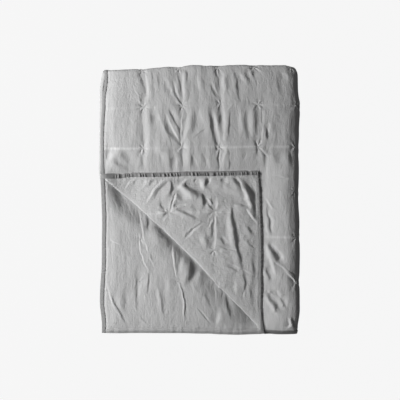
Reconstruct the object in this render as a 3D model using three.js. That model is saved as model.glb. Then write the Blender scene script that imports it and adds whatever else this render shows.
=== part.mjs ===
// A tufted bedspread, folded in four, with the corner of its top layer turned back.
// Frame: millimetres, +Z up, origin under the middle of the folded stack, +Y to the top fold.
// The cloth has its own coordinates: u across its width, v along its length, w out of its face.
import * as THREE from 'three';

// Open cloth, its tufts and its filling
const WIDTH = 1300;
const LENGTH = 1800;
const TUFT_COLUMNS = [126, 253, 379, 505, 631, 757, 884, 1010, 1136];
const TUFT_ROWS = [172, 324, 478, 626, 768, 894, 1046, 1192, 1338, 1484, 1628];
const TUFT_DENT = 26;
const LOFT = 8.6;
const TUFT_THICKNESS = 3.4;
const EDGE_THICKNESS = 4;
const DIP_BETWEEN_TUFTS = 0.12;

// Binding tape, folded over the raw edge
const BINDING_WIDTH = 13;
const TAPE_THICKNESS = 1.2;
const SEWN_GAP = 0.6;
const EDGE_ROOM = 1.4;
const PRESSED_BORDER = 16;
const FILLED_BORDER = 48;

// Folds: the top fold comes first, then the side fold wraps the doubled cloth
const LAYER = 10;
const TOP_FOLD_RADIUS = LAYER / 2;
const SIDE_FOLD_RADIUS = LAYER;
const SLIP_LENGTH = 80;
const FLOOR_EASING = 42;

// Corner of the top layer, turned back along the line u + v = CORNER_CREASE: past its round
// the flap slides along the crease, rises to a crest and then comes down on the layer below
const CORNER_CREASE = 549;
const CORNER_RADIUS = 7.5;
const CORNER_STEPS = 6;
const CORNER_CREST = 60;
const CORNER_CREST_RISE = 21;
const CORNER_SETTLED = 210;
const CORNER_SLIDE = 17;
const CORNER_END = 130;
const CORNER_END_CREST = 0.4;

// The flap's upper edge is drawn to the left
const CORNER_SKEW = 13;
const CORNER_SKEW_LENGTH = 75;
const CORNER_SKEW_FULL = 160;

// The stack is thinner towards its edges: the part of its height lost there, and how far in it starts
const LEFT_SINK = { share: 0.3, reach: 110 };
const RIGHT_SINK = { share: 0.16, reach: 65 };
const BOTTOM_SINK = { share: 0.14, reach: 80 };
const TOP_SINK = { share: 0.12, reach: 45 };

// The hollow that the lower layers have beside the turned corner: the part of the height lost,
// by place along the crease
const HOLLOW = [
  { at: -400, share: 0.3 },
  { at: -300, share: 0.4 },
  { at: -130, share: 0.35 },
  { at: 100, share: 0.2 },
  { at: 290, share: 0.25 },
  { at: 400, share: 0 },
];
const HOLLOW_LINE = 553;
const HOLLOW_WIDTH = 60;
const HOLLOW_UNDER_FLAP = 160;
const HOLLOW_FROM_EDGE = { none: 18, full: 75 };
const HOLLOW_AT_BOTTOM = 1.4;

// The turned corner's weight presses the stack: from where to where its right and top edge do so
const PRESSED_SHARE = 0.2;
const PRESSED_RIGHT = { full: 560, none: 640 };
const PRESSED_TOP = { full: 570, none: 630 };
const PRESSED_LEFT = 120;
const PRESSED_BOTTOM = 60;

// The folded stack's nominal outline and the places of its fold axes
const HALF_STRAIGHT_X = WIDTH / 2 - (Math.PI / 2) * (SIDE_FOLD_RADIUS - TOP_FOLD_RADIUS);
const STACK_WIDTH = HALF_STRAIGHT_X + SIDE_FOLD_RADIUS + LAYER;
const STACK_LENGTH = LENGTH / 2 - (Math.PI / 2) * TOP_FOLD_RADIUS + LAYER;
const SIDE_AXIS_X = STACK_WIDTH / 2 - 2 * LAYER;
const TOP_AXIS_Y = STACK_LENGTH / 2 - LAYER;
const STACK_MIDDLE_Z = 2 * LAYER;

// How far the outline departs from a straight rectangle, in millimetres
const TOP_EDGE = [
  { at: -300, shift: -16 },
  { at: -200, shift: -8 },
  { at: -90, shift: -3 },
  { at: -30, shift: 0 },
  { at: 290, shift: 0 },
  { at: 332, shift: -6 },
];
const RIGHT_EDGE = [
  { at: -432, shift: -4 },
  { at: -370, shift: 1 },
  { at: -130, shift: 2 },
  { at: 0, shift: -1 },
  { at: 230, shift: -1 },
  { at: 315, shift: 4 },
  { at: 380, shift: -3 },
  { at: 428, shift: -4 },
  { at: 452, shift: -15 },
];
const LEFT_EDGE = [
  { at: -432, shift: 4 },
  { at: -350, shift: -3 },
  { at: -170, shift: 3 },
  { at: 0, shift: 1 },
  { at: 160, shift: -3 },
  { at: 340, shift: -2 },
  { at: 450, shift: 2 },
];

// How far the top layer's left side lies beyond the layers below it
const TOP_LAYER_LEFT = [
  { at: 60, shift: -17 },
  { at: 250, shift: -15 },
  { at: 340, shift: -11 },
  { at: 440, shift: -2 },
];
const TOP_LAYER_SHIFTED = { full: 15, none: 180 };

const BODY_COLOUR = '#b4b4b4';
const BODY_ROUGHNESS = 0.9;
const BINDING_COLOUR = '#7d7d7d';
const BINDING_ROUGHNESS = 0.85;

const DIAGONAL = Math.SQRT1_2;

function smooth(from, to, value) {
  const t = Math.min(1, Math.max(0, (value - from) / (to - from)));
  return t * t * (3 - 2 * t);
}

// A column of a table, eased between its rows
function valueAt(table, column, place) {
  let row = 0;
  while (row < table.length - 2 && place > table[row + 1].at) {
    row += 1;
  }
  const a = table[row];
  const b = table[row + 1];
  return a[column] + (b[column] - a[column]) * smooth(a.at, b.at, place);
}

// Thickness of the filled cloth

function borderDistance(u, v) {
  return Math.min(u, WIDTH - u, v, LENGTH - v);
}

function fromNearest(values, place) {
  return Math.min(...values.map((value) => Math.abs(place - value)));
}

// 1 at a tuft, with a slight dip along the rows that join the tufts
function pinch(u, v) {
  const column = Math.exp(-((fromNearest(TUFT_COLUMNS, u) / TUFT_DENT) ** 2));
  const row = Math.exp(-((fromNearest(TUFT_ROWS, v) / TUFT_DENT) ** 2));
  return Math.min(1, column * row + DIP_BETWEEN_TUFTS * (column + row));
}

function halfThickness(u, v) {
  const filled = LOFT / 2 - ((LOFT - TUFT_THICKNESS) / 2) * pinch(u, v);
  const share = smooth(PRESSED_BORDER, FILLED_BORDER, borderDistance(u, v));
  return EDGE_THICKNESS / 2 + (filled - EDGE_THICKNESS / 2) * share;
}

// The face of the bottom layer is pressed flat where it lies on the floor
function faceOffset(u, v) {
  const half = halfThickness(u, v);
  const sideQuarter = (Math.PI / 2) * (SIDE_FOLD_RADIUS + TOP_FOLD_RADIUS);
  const topQuarter = (Math.PI / 2) * TOP_FOLD_RADIUS;
  const pastSideFold = smooth(0, sideQuarter, u - WIDTH / 2);
  const pastTopFold = smooth(topQuarter, topQuarter + FLOOR_EASING, LENGTH / 2 - v);
  const pastBorder = smooth(PRESSED_BORDER, FILLED_BORDER, borderDistance(u, v));
  return half + (LAYER / 2 - half) * pastSideFold * pastTopFold * pastBorder;
}

function backOffset(u, v) {
  return -halfThickness(u, v);
}

// Folding: each fold gives the middle of the cloth and the direction of its face

// The first fold doubles the cloth along its length
function topFold(v) {
  const along = v - LENGTH / 2;
  const angle = along / TOP_FOLD_RADIUS;
  if (Math.abs(angle) <= Math.PI / 2) {
    const normal = { y: Math.cos(angle), depth: -Math.sin(angle) };
    return { y: TOP_FOLD_RADIUS * normal.y, depth: TOP_FOLD_RADIUS * normal.depth, normal };
  }
  const side = -Math.sign(along);
  const y = -(Math.abs(along) - (Math.PI / 2) * TOP_FOLD_RADIUS);
  return { y, depth: side * TOP_FOLD_RADIUS, normal: { y: 0, depth: side } };
}

// The second fold wraps the doubled cloth, so its outer layer has the longer way round
function sideFold(u, v, depth) {
  const across = u - WIDTH / 2;
  const radius = SIDE_FOLD_RADIUS + depth;
  const slip = 1 - 2 * smooth(-SLIP_LENGTH, SLIP_LENGTH, v - LENGTH / 2);
  const lengthRadius = SIDE_FOLD_RADIUS + TOP_FOLD_RADIUS * slip;
  const angle = across / lengthRadius;
  if (Math.abs(angle) <= Math.PI / 2) {
    const normal = { x: Math.cos(angle), z: -Math.sin(angle) };
    return { x: radius * normal.x, z: radius * normal.z, normal };
  }
  const side = -Math.sign(across);
  const x = -(Math.abs(across) - (Math.PI / 2) * lengthRadius);
  return { x, z: side * radius, normal: { x: 0, z: side } };
}

function foldedInFour(u, v) {
  const top = topFold(v);
  const side = sideFold(u, v, top.depth);
  return {
    point: new THREE.Vector3(
      SIDE_AXIS_X + side.x,
      TOP_AXIS_Y + top.y,
      STACK_MIDDLE_Z + side.z,
    ),
    normal: new THREE.Vector3(
      top.normal.depth * side.normal.x,
      top.normal.y,
      top.normal.depth * side.normal.z,
    ),
  };
}

// The turned corner's section by length past the crease, in flat steps
function cornerSection() {
  const arc = Math.PI * CORNER_RADIUS;
  const round = Array.from({ length: CORNER_STEPS + 1 }, (_, step) => {
    const angle = (Math.PI * step) / CORNER_STEPS;
    return {
      past: (arc * step) / CORNER_STEPS,
      out: CORNER_RADIUS * Math.sin(angle),
      rise: CORNER_RADIUS * (1 - Math.cos(angle)),
      lean: -Math.sin(angle),
      up: Math.cos(angle),
      slide: 0,
    };
  });
  const beyond = (past, rise) => (
    { past: arc + past, out: -past, rise, lean: 0, up: -1, slide: CORNER_SLIDE }
  );
  return [
    ...round,
    beyond(CORNER_CREST, CORNER_CREST_RISE),
    beyond(CORNER_SETTLED, LAYER),
    beyond(CORNER_CREASE, LAYER),
  ];
}

const CORNER_SECTION = cornerSection();

function cornerTurn(past) {
  const after = CORNER_SECTION.findIndex((row) => row.past > past);
  const a = CORNER_SECTION[after - 1];
  const b = CORNER_SECTION[after];
  const share = (past - a.past) / (b.past - a.past);
  const between = (column) => a[column] + (b[column] - a[column]) * share;
  return Object.fromEntries(Object.keys(a).map((column) => [column, between(column)]));
}

function folded(u, v) {
  const past = (CORNER_CREASE - u - v) * DIAGONAL;
  if (past <= 0) {
    return foldedInFour(u, v);
  }
  const crease = foldedInFour(u + past * DIAGONAL, v + past * DIAGONAL);
  const turn = cornerTurn(past);
  const outward = new THREE.Vector3(-DIAGONAL, -DIAGONAL, 0);
  const alongCrease = new THREE.Vector3(-DIAGONAL, DIAGONAL, 0);
  const middle = smooth(BINDING_WIDTH, CORNER_END, Math.min(u, v));
  const crest = Math.max(turn.rise - LAYER, 0) * (CORNER_END_CREST + (1 - CORNER_END_CREST) * middle);
  const skew = CORNER_SKEW * Math.exp(-u / CORNER_SKEW_LENGTH) * smooth(0, CORNER_SKEW_FULL, past);
  const point = crease.point
    .addScaledVector(outward, turn.out)
    .addScaledVector(alongCrease, turn.slide);
  point.x -= skew;
  point.z += Math.min(turn.rise, LAYER) + crest;
  return { point, normal: outward.multiplyScalar(turn.lean).setZ(turn.up) };
}

function isOnTop(u, v) {
  return u < WIDTH / 2 && v < LENGTH / 2;
}

function sinkToEdges(point) {
  const sinks = [
    { ...LEFT_SINK, inside: point.x + STACK_WIDTH / 2 },
    { ...RIGHT_SINK, inside: STACK_WIDTH / 2 - point.x },
    { ...BOTTOM_SINK, inside: point.y + STACK_LENGTH / 2 },
    { ...TOP_SINK, inside: STACK_LENGTH / 2 - point.y },
  ];
  sinks.forEach(({ share, reach, inside }) => {
    const short = 1 - Math.min(1, Math.max(0, inside / reach));
    point.z *= 1 - share * short ** 2;
  });
}

// The lower layers sag beside the turned corner, the two lowest a little more,
// and all the layers are pressed under it
function sagUnderCorner(point, u, v) {
  const x = point.x + STACK_WIDTH / 2;
  const y = point.y + STACK_LENGTH / 2;
  const beside = (HOLLOW_LINE - x - y) * DIAGONAL;
  const near = Math.exp(-Math.max(beside, 0) / HOLLOW_WIDTH) * (1 - smooth(0, HOLLOW_UNDER_FLAP, -beside));
  const { none, full } = HOLLOW_FROM_EDGE;
  const inside = smooth(none, full, x) * smooth(none, full, y);
  const sags = isOnTop(u, v) ? 0 : 1;
  const depth = sags * valueAt(HOLLOW, 'share', (x - y) * DIAGONAL) * (u > WIDTH / 2 ? HOLLOW_AT_BOTTOM : 1);
  const across = smooth(0, PRESSED_LEFT, x) * (1 - smooth(PRESSED_RIGHT.full, PRESSED_RIGHT.none, x));
  const along = smooth(0, PRESSED_BOTTOM, y) * (1 - smooth(PRESSED_TOP.full, PRESSED_TOP.none, y));
  point.z *= (1 - depth * near * inside) * (1 - PRESSED_SHARE * across * along);
}

function shiftLeftSide(point) {
  const { full, none } = TOP_LAYER_SHIFTED;
  const share = 1 - smooth(full, none, point.x + STACK_WIDTH / 2);
  point.x += valueAt(TOP_LAYER_LEFT, 'shift', point.y) * share;
}

function makeUneven(point) {
  const right = point.x / STACK_WIDTH + 0.5;
  const up = point.y / STACK_LENGTH + 0.5;
  const { x, y } = point;
  const rightShift = valueAt(RIGHT_EDGE, 'shift', y) * right ** 2;
  const leftShift = valueAt(LEFT_EDGE, 'shift', y) * (1 - right) ** 2;
  point.x += rightShift + leftShift;
  point.y += valueAt(TOP_EDGE, 'shift', x) * up ** 2;
}

function place(u, v, w) {
  const { point, normal } = folded(u, v);
  point.addScaledVector(normal, w);
  sinkToEdges(point);
  sagUnderCorner(point, u, v);
  if (isOnTop(u, v)) {
    shiftLeftSide(point);
  }
  makeUneven(point);
  return point;
}

// Lines of the cloth's mesh: close at tufts, folds and border, wide where layers hide each other

const SIDE_FOLD_LINES = [0, 4, 8, 16, 24];
const TOP_FOLD_LINES = [0, 4, 8];
const BORDER_LINES = [0, PRESSED_BORDER, (PRESSED_BORDER + FILLED_BORDER) / 2, FILLED_BORDER];
const CLEAR_OF_FOLD = 4;
const CLEAR_OF_BORDER = 10;
const HIDDEN_ROWS = { from: 950, to: 1260 };

function tuftLines(tufts, isFine) {
  return tufts.flatMap((tuft, i) => {
    const halfWay = i > 0 ? [(tuft + tufts[i - 1]) / 2] : [];
    const dent = isFine(tuft) ? [tuft - TUFT_DENT, tuft + TUFT_DENT] : [];
    return [tuft, ...halfWay, ...dent];
  });
}

function clothLines(size, tufts, foldLines, isFine) {
  const half = size / 2;
  const reach = Math.max(...foldLines) + CLEAR_OF_FOLD;
  const inner = tuftLines(tufts, isFine)
    .filter((line) => Math.min(line, size - line) > FILLED_BORDER + CLEAR_OF_BORDER)
    .filter((line) => Math.abs(line - half) > reach);
  const border = BORDER_LINES.flatMap((line) => [line, size - line]);
  const fold = foldLines.flatMap((line) => [half - line, half + line]);
  return [...new Set([...inner, ...border, ...fold])].sort((a, b) => a - b);
}

const U_LINES = clothLines(WIDTH, TUFT_COLUMNS, SIDE_FOLD_LINES, (u) => u < WIDTH / 2);
const V_LINES = clothLines(
  LENGTH,
  TUFT_ROWS,
  TOP_FOLD_LINES,
  (v) => v < HIDDEN_ROWS.from || v > HIDDEN_ROWS.to,
);

// Crease lines of the turned corner, as values of u + v
const CREASE_LINES = CORNER_SECTION
  .map(({ past }) => CORNER_CREASE - past / DIAGONAL)
  .filter((sum) => sum > 0);

// A flat mesh in cloth coordinates, cut along the crease lines

function gridMesh(us, vs) {
  const points = vs.flatMap((v) => us.map((u) => ({ u, v })));
  const triangles = [];
  for (let j = 0; j < vs.length - 1; j += 1) {
    for (let i = 0; i < us.length - 1; i += 1) {
      const a = j * us.length + i;
      const c = a + us.length;
      triangles.push([a, a + 1, c], [a + 1, c + 1, c]);
    }
  }
  return { points, triangles };
}

function cutAlong(mesh, sum) {
  const { points } = mesh;
  const tolerance = 0.3;
  const side = points.map(({ u, v }) => (Math.abs(u + v - sum) < tolerance ? 0 : Math.sign(u + v - sum)));
  const made = new Map();

  function crossing(a, b) {
    const key = a < b ? `${a},${b}` : `${b},${a}`;
    if (!made.has(key)) {
      const p = points[a];
      const q = points[b];
      const share = (sum - p.u - p.v) / (q.u + q.v - p.u - p.v);
      made.set(key, points.length);
      points.push({ u: p.u + (q.u - p.u) * share, v: p.v + (q.v - p.v) * share });
    }
    return made.get(key);
  }

  mesh.triangles = mesh.triangles.flatMap((triangle) => {
    const signs = triangle.map((corner) => side[corner]);
    if (!signs.includes(1) || !signs.includes(-1)) {
      return [triangle];
    }
    if (signs.includes(0)) {
      const k = signs.indexOf(0);
      const [a, b, c] = [0, 1, 2].map((i) => triangle[(k + i) % 3]);
      const m = crossing(b, c);
      return [[a, b, m], [a, m, c]];
    }
    const k = signs.findIndex((sign) => signs.filter((other) => other === sign).length === 1);
    const [a, b, c] = [0, 1, 2].map((i) => triangle[(k + i) % 3]);
    const m = crossing(a, b);
    const n = crossing(a, c);
    return [[a, m, n], [m, b, n], [b, c, n]];
  });
}

// Solids

function geometryOf(vertices, triangles) {
  const geometry = new THREE.BufferGeometry().setFromPoints(vertices);
  geometry.setIndex(triangles.flat());
  geometry.computeVertexNormals();
  return geometry;
}

function quiltGeometry() {
  const mesh = gridMesh(U_LINES, V_LINES);
  CREASE_LINES.forEach((sum) => cutAlong(mesh, sum));
  const count = mesh.points.length;
  const vertices = [
    ...mesh.points.map(({ u, v }) => place(u, v, faceOffset(u, v))),
    ...mesh.points.map(({ u, v }) => place(u, v, backOffset(u, v))),
  ];
  const face = mesh.triangles;
  const back = face.map(([a, b, c]) => [a + count, c + count, b + count]);
  const edges = face.flatMap(([a, b, c]) => [[a, b], [b, c], [c, a]]);
  const used = new Set(edges.map(([a, b]) => `${a},${b}`));
  const rim = edges
    .filter(([a, b]) => !used.has(`${b},${a}`))
    .flatMap(([a, b]) => [[a, a + count, b + count], [a, b + count, b]]);
  return geometryOf(vertices, [...face, ...back, ...rim]);
}

// The tape's section: inward from the cloth's edge, and out of its face
function tapeSection() {
  const inner = EDGE_THICKNESS / 2 + SEWN_GAP;
  const outer = inner + TAPE_THICKNESS;
  const lip = -EDGE_ROOM;
  const turn = lip - TAPE_THICKNESS;
  return [
    { inward: BINDING_WIDTH, w: outer },
    { inward: 0, w: outer },
    { inward: turn, w: inner },
    { inward: turn, w: -inner },
    { inward: 0, w: -outer },
    { inward: BINDING_WIDTH, w: -outer },
    { inward: BINDING_WIDTH, w: -inner },
    { inward: lip, w: -inner },
    { inward: lip, w: inner },
    { inward: BINDING_WIDTH, w: inner },
  ];
}

// Where the tape crosses the turned corner its stations run along the crease lines
function tapeStations(lines, from, to, crossesCorner) {
  const between = lines.filter((line) => line > from && line < to);
  const square = [from, ...between, to].map((at) => ({ at, skew: 0 }));
  if (!crossesCorner) {
    return square;
  }
  const clear = 2 * EDGE_ROOM;
  const before = BINDING_WIDTH + clear;
  const after = EDGE_ROOM + TAPE_THICKNESS + clear;
  const meetsCrease = (at) => CREASE_LINES.some((sum) => at > sum - before && at < sum + after);
  return [
    ...square.filter(({ at }) => !meetsCrease(at)),
    ...CREASE_LINES.map((at) => ({ at, skew: -1 })),
  ].sort((a, b) => a.at - b.at);
}

function tapeGeometry(stations, clothPoint, mirrored) {
  const section = tapeSection();
  const count = section.length;
  const vertices = stations.flatMap(({ at, skew }) => section.map(({ inward, w }) => {
    const { u, v } = clothPoint(inward, at + skew * inward);
    return place(u, v, w);
  }));
  const sides = [];
  for (let s = 0; s < stations.length - 1; s += 1) {
    for (let i = 0; i < count; i += 1) {
      const a = s * count + i;
      const b = s * count + ((i + 1) % count);
      sides.push([a, b, a + count], [b, b + count, a + count]);
    }
  }
  const outline = section.map(({ inward, w }) => new THREE.Vector2(inward, w));
  const cap = THREE.ShapeUtils.triangulateShape(outline, []);
  const end = (stations.length - 1) * count;
  const caps = [
    ...cap.map(([a, b, c]) => [a, c, b]),
    ...cap.map(([a, b, c]) => [a + end, b + end, c + end]),
  ];
  const triangles = [...sides, ...caps];
  return geometryOf(vertices, mirrored ? triangles.map(([a, b, c]) => [a, c, b]) : triangles);
}

function clothMaterial(colour, roughness) {
  return new THREE.MeshStandardMaterial({ color: colour, roughness, metalness: 0 });
}

function namedMesh(name, geometry, material) {
  const mesh = new THREE.Mesh(geometry, material);
  mesh.name = name;
  return mesh;
}

// The long tapes run past the corners, and the short tapes fit between them
function bindings() {
  const past = EDGE_ROOM + TAPE_THICKNESS;
  const between = BINDING_WIDTH + SEWN_GAP;
  const long = (crossesCorner) => tapeStations(V_LINES, -past, LENGTH + past, crossesCorner);
  const short = (crossesCorner) => tapeStations(U_LINES, between, WIDTH - between, crossesCorner);
  const tapes = [
    ['binding_long_upper', long(true), (inward, at) => ({ u: inward, v: at }), true],
    ['binding_long_lower', long(false), (inward, at) => ({ u: WIDTH - inward, v: at }), false],
    ['binding_short_outer', short(true), (inward, at) => ({ u: at, v: inward }), false],
    ['binding_short_inner', short(false), (inward, at) => ({ u: at, v: LENGTH - inward }), true],
  ];
  return tapes.map(([name, stations, clothPoint, mirrored]) => (
    namedMesh(
      name,
      tapeGeometry(stations, clothPoint, mirrored),
      clothMaterial(BINDING_COLOUR, BINDING_ROUGHNESS),
    )
  ));
}

const bedspread = new THREE.Group();
bedspread.add(namedMesh('quilt', quiltGeometry(), clothMaterial(BODY_COLOUR, BODY_ROUGHNESS)));
bedspread.add(...bindings());

// The uneven outline moves the box a little, so the origin is set under its middle
const box = new THREE.Box3().setFromObject(bedspread);
const middle = box.getCenter(new THREE.Vector3());
bedspread.children.forEach((piece) => piece.geometry.translate(-middle.x, -middle.y, -box.min.z));

export default bedspread;
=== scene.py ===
import math

import bmesh
import bpy
import numpy as np
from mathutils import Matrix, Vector


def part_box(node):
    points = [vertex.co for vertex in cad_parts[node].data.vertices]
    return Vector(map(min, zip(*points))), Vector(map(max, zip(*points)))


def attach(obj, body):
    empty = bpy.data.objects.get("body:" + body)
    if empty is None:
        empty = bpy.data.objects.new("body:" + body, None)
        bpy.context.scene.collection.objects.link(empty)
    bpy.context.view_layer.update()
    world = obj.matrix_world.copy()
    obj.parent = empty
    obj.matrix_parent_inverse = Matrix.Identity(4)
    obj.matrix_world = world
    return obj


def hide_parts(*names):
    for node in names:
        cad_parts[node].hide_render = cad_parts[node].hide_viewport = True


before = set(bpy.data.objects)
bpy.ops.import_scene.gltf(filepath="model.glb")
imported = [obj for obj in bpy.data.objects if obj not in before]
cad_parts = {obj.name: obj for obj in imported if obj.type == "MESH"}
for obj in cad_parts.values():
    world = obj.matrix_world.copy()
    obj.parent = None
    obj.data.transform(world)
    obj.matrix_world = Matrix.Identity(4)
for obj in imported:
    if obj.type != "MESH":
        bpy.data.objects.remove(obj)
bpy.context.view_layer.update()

# Sizes are in millimetres, as in the solids, until a piece is made in metres.
# A plain pair of lengths is where a smooth change begins and where it ends.
MM = 0.001
CM = 10
DIAGONAL = math.sqrt(0.5)
QUARTER_TURN = math.pi / 2

# Open cloth: u across its width, v along its length, w out of its face
WIDTH = 1300
LENGTH = 1800
HALF_WIDTH = WIDTH / 2
HALF_LENGTH = LENGTH / 2
TUFT_COLUMNS = (126, 253, 379, 505, 631, 757, 884, 1010, 1136)
TUFT_ROWS = (172, 324, 478, 626, 768, 894, 1046, 1192, 1338, 1484, 1628)
LOFT = 8.6
TUFT_THICKNESS = 3.4
EDGE_THICKNESS = 4
EDGE_TAPER = 1.5
LEAST_THICKNESS = 0.9
FILLED_BORDER = (14, 44)
RELIEF_BORDER = (14, 26)

# How a tuft draws the cloth in: a sharp dent, a broad basin and faint lines along rows and columns
TUFT_DENT = 15
TUFT_DENT_POWER = 1.4
TUFT_BASIN = 42
TUFT_LINE = 16
TUFT_SHARES = (0.62, 0.38, 0.06)

# Welts beside the binding's seam: (height, place, half width)
SEAM_WELT = (0.9, 20, 5)
CORNER_WELT = (0.8, 16.5, 3.5)
CORNER_WELT_FROM_TIP = (16, 60)
CORNER_WELT_FROM_CREASE = (10, 60)

# Where the bottom layer lies flat on the floor
FLAT_PAST_SIDE_FOLD = (0, 23)
FLAT_PAST_TOP_FOLD = (8, 50)
FLAT_FROM_BORDER = (16, 60)

# Binding tape
BINDING_WIDTH = 11.5
TAPE_THICKNESS = 1.2
SEWN_GAP = 0.4
EDGE_ROOM = 1
SEAM_INWARD = BINDING_WIDTH - 2.5

# Folds
LAYER = 10
TOP_FOLD_RADIUS = LAYER / 2
SIDE_FOLD_RADIUS = LAYER
SLIP_LENGTH = 80

# Turned corner: its fold lifts to a crest, then falls until the corner lies one layer up
CORNER_CREASE = 540
CORNER_RADIUS = 3.4
CORNER_LIFT = 0.4
CORNER_CREST = 24
CORNER_FALL_FULL = 60
CORNER_FALL_ENDS = (130, 210)
CORNER_THINNED = 2.6
CORNER_THINNED_LENGTH = 14
SECTION_LENGTH = 900
SECTION_STEP = 0.25

# How the turned corner's edges depart from a plain fold. The stretch is (near the crease, far from it).
CORNER_STRETCH = (8, 12)
CORNER_STRETCH_GROWS = (100, 400)
CORNER_STRETCH_LENGTH = 70
CORNER_DRAWN_IN = 11
CORNER_EDGE_FALL = 3
CORNER_EDGE_FALLS = (20, 90)
CORNER_END = 130
CORNER_END_RISE = 0.55
CORNER_SKEW = 9
CORNER_SKEW_GROWS = (20, 160)
CORNER_SKEW_LENGTH = 75

# At the crease's ends: (how far the cloth is moved, how far round)
CORNER_END_RAISED = (8, 90)
CORNER_LOW_END_DRAWN = (3, 70)

# Bulges of the turned corner's fold: (place along the crease, half length, how far out)
CREASE_BULGES = ((-325, 40, 5), (-165, 45, 5), (20, 50, -3), (150, 55, 6), (290, 40, 2))
CREASE_BULGE_LENGTH = 70

# How the stack sinks towards its edges: (share of its height lost at the edge, how far in)
LEFT_SINK = (0.34, 68)
BOTTOM_SINK = (0.01, 30)
RIGHT_SINK = (0.34, 52)
TOP_SINK = (0.08, 45)

# How round the side fold is along its length
RIGHT_ROUNDING = ((0, 0.2), (110, 0.6), (240, 1), (480, 1.1), (620, 1), (800, 1), (880, 0.5))

# Where the lower layers' left edge stands up instead: (place along the edge, part of the sink undone)
LEFT_PROPPED = ((0, 0.5), (300, 0.6), (400, 0.9), (530, 0.9), (580, 0))

# Right of the turned corner the bottom edge hangs down: where, then share of height lost, how far in
BOTTOM_HANGS_FROM = (546, 572)
BOTTOM_HANG = (0.34, 15)

# Towards the top the left edges curl down: how much of each, round what radius, and where
LEFT_CURL = 8
TOP_LAYER_CURL = 6
LEFT_CURL_RADIUS = 5.5
LEFT_CURLS_FROM = (480, 600)

# The hollow in the layer under the turned corner: (place along the crease, share of height lost),
# how wide it is, and between which shares of that width its left side rises
HOLLOW = (
    (-400, 0.9), (-260, 0.9), (-190, 0.62), (-130, 0.55), (0, 0.5),
    (100, 0.3), (200, 0.3), (310, 0.7), (400, 0),
)
HOLLOW_WIDTH = ((-380, 92), (-300, 88), (-210, 60), (-120, 40))
HOLLOW_RISES = (-0.2, 1.1)
HOLLOW_UNDER_CORNER = (0, 100)
HOLLOW_LINE = 553
HOLLOW_FROM_LEFT = (8, 78)
HOLLOW_FROM_BOTTOM = (12, 42)
HOLLOW_IN_TOP_LAYER = 0.4

# The turned corner's weight presses the stack: share of height lost, and how that ends on each side,
# at the right in two steps of (share, begins, ends)
PRESSED_SHARE = 0.5
PRESSED_RIGHT = ((0.6, 533, 589), (0.4, 573, 633))
PRESSED_TOP = (535, 615)
PRESSED_FROM_LEFT = (0, 120)
PRESSED_AT_BOTTOM = 0.75
PRESSED_FROM_BOTTOM = (0, 80)
PRESSED_LEFT_OF_FOLD = 0.65
PRESSED_EASES = (0, 75)

# Left edges of the layers, apart in the plane: (place along the edge, shift)
TOP_LAYER_LEFT = ((60, -20), (250, -19), (340, -15), (440, -6))
LOWER_LAYERS_LEFT = ((-380, -4), (-220, -2.6), (-60, -1), (40, -3), (120, -9), (440, -9))
SECOND_LAYER_INSET = ((60, 0), (130, 12))
LEFT_SHIFT_ENDS = (15, 180)

# Bound edges are a rim: how far each droops, and their waves as (share, length, row of the noise, seed)
RIM = 20
EDGE_DROOP = 1.4
TOP_LAYER_DROOP = 2.4
TOP_LAYER_LEFT_DROOP = 0.3
INNER_SHORT_DROOP = 0.2
TURNED_EDGE_DROOP = 0.6
DROOP_ENDS = (0, 18)
EDGE_WAVE = 0.9
OUTER_SHORT_WAVE = 0.3
EDGE_WAVE_ENDS = (4, 30)
EDGE_WAVES = ((1, 16, 0, 15), (0.5, 8, 4.5, 16))

# The folded stack's nominal outline and the places of its fold axes
STACK_WIDTH = HALF_WIDTH - QUARTER_TURN * (SIDE_FOLD_RADIUS - TOP_FOLD_RADIUS) + 2 * LAYER
STACK_LENGTH = HALF_LENGTH - QUARTER_TURN * TOP_FOLD_RADIUS + LAYER
HALF_X = STACK_WIDTH / 2
HALF_Y = STACK_LENGTH / 2
SIDE_AXIS_X = HALF_X - 2 * LAYER
TOP_AXIS_Y = HALF_Y - LAYER
STACK_MIDDLE_Z = 2 * LAYER

# How far the dressed cloth stands outside the plain solid at its side fold and its bottom edge
RIGHT_OVERHANG = 2.8
BOTTOM_OVERHANG = 2.5

# How far the outline departs from a straight rectangle: (place along the edge, shift)
TOP_EDGE = ((-300, -18), (-200, -13), (-90, -7), (-30, -1), (290, 0), (332, -6))
BOTTOM_EDGE = (
    (-320, 2.3), (-60, 1.5), (20, 0), (70, -3), (120, -4), (190, -2.5), (225, -1), (265, -3), (330, -1),
)
RIGHT_EDGE = (
    (-432, -4), (-370, 3), (-130, 4), (20, -1), (230, -1), (315, 4), (380, -3), (428, -3), (452, -12),
)
LEFT_EDGE = ((-432, 4), (-350, -3), (-170, 3), (0, 1), (160, -3), (340, -2), (450, 2))

# Slow drift of the whole cloth in the plane, and of the creases' lines: (size, length, seeds)
CLOTH_DRIFT = (1.6, 120, (11, 12))
CREASE_DRIFT = (2.5, 26, (21, 22))

# After how many swells the noise repeats, and what brings it to about -1 to 1
NOISE_KNOTS = 128
NOISE_SIZE = 1.6


# Curves and noise

def smooth(low, high, value):
    t = np.clip((value - low) / (high - low), 0.0, 1.0)
    return t * t * (3.0 - 2.0 * t)


def rising(low, share):
    """From low, where the share is 0, to 1."""
    return low + (1 - low) * share


def bell(distance, width):
    return np.exp(-(distance / width) ** 2)


def ridge(profile, at):
    """A round ridge, or a valley where its height is negative."""
    height, crest, half_width = profile
    return height * bell(at - crest, half_width)


def shift_at(table, at):
    total = np.full_like(at, table[0][1], dtype=float)
    for (low, before), (high, after) in zip(table, table[1:]):
        total += (after - before) * smooth(low, high, at)
    return total


def fade(t):
    """From 0 to 1 with no slope and no bend at either end."""
    return t ** 3 * (t * (6 * t - 15) + 10)


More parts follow.
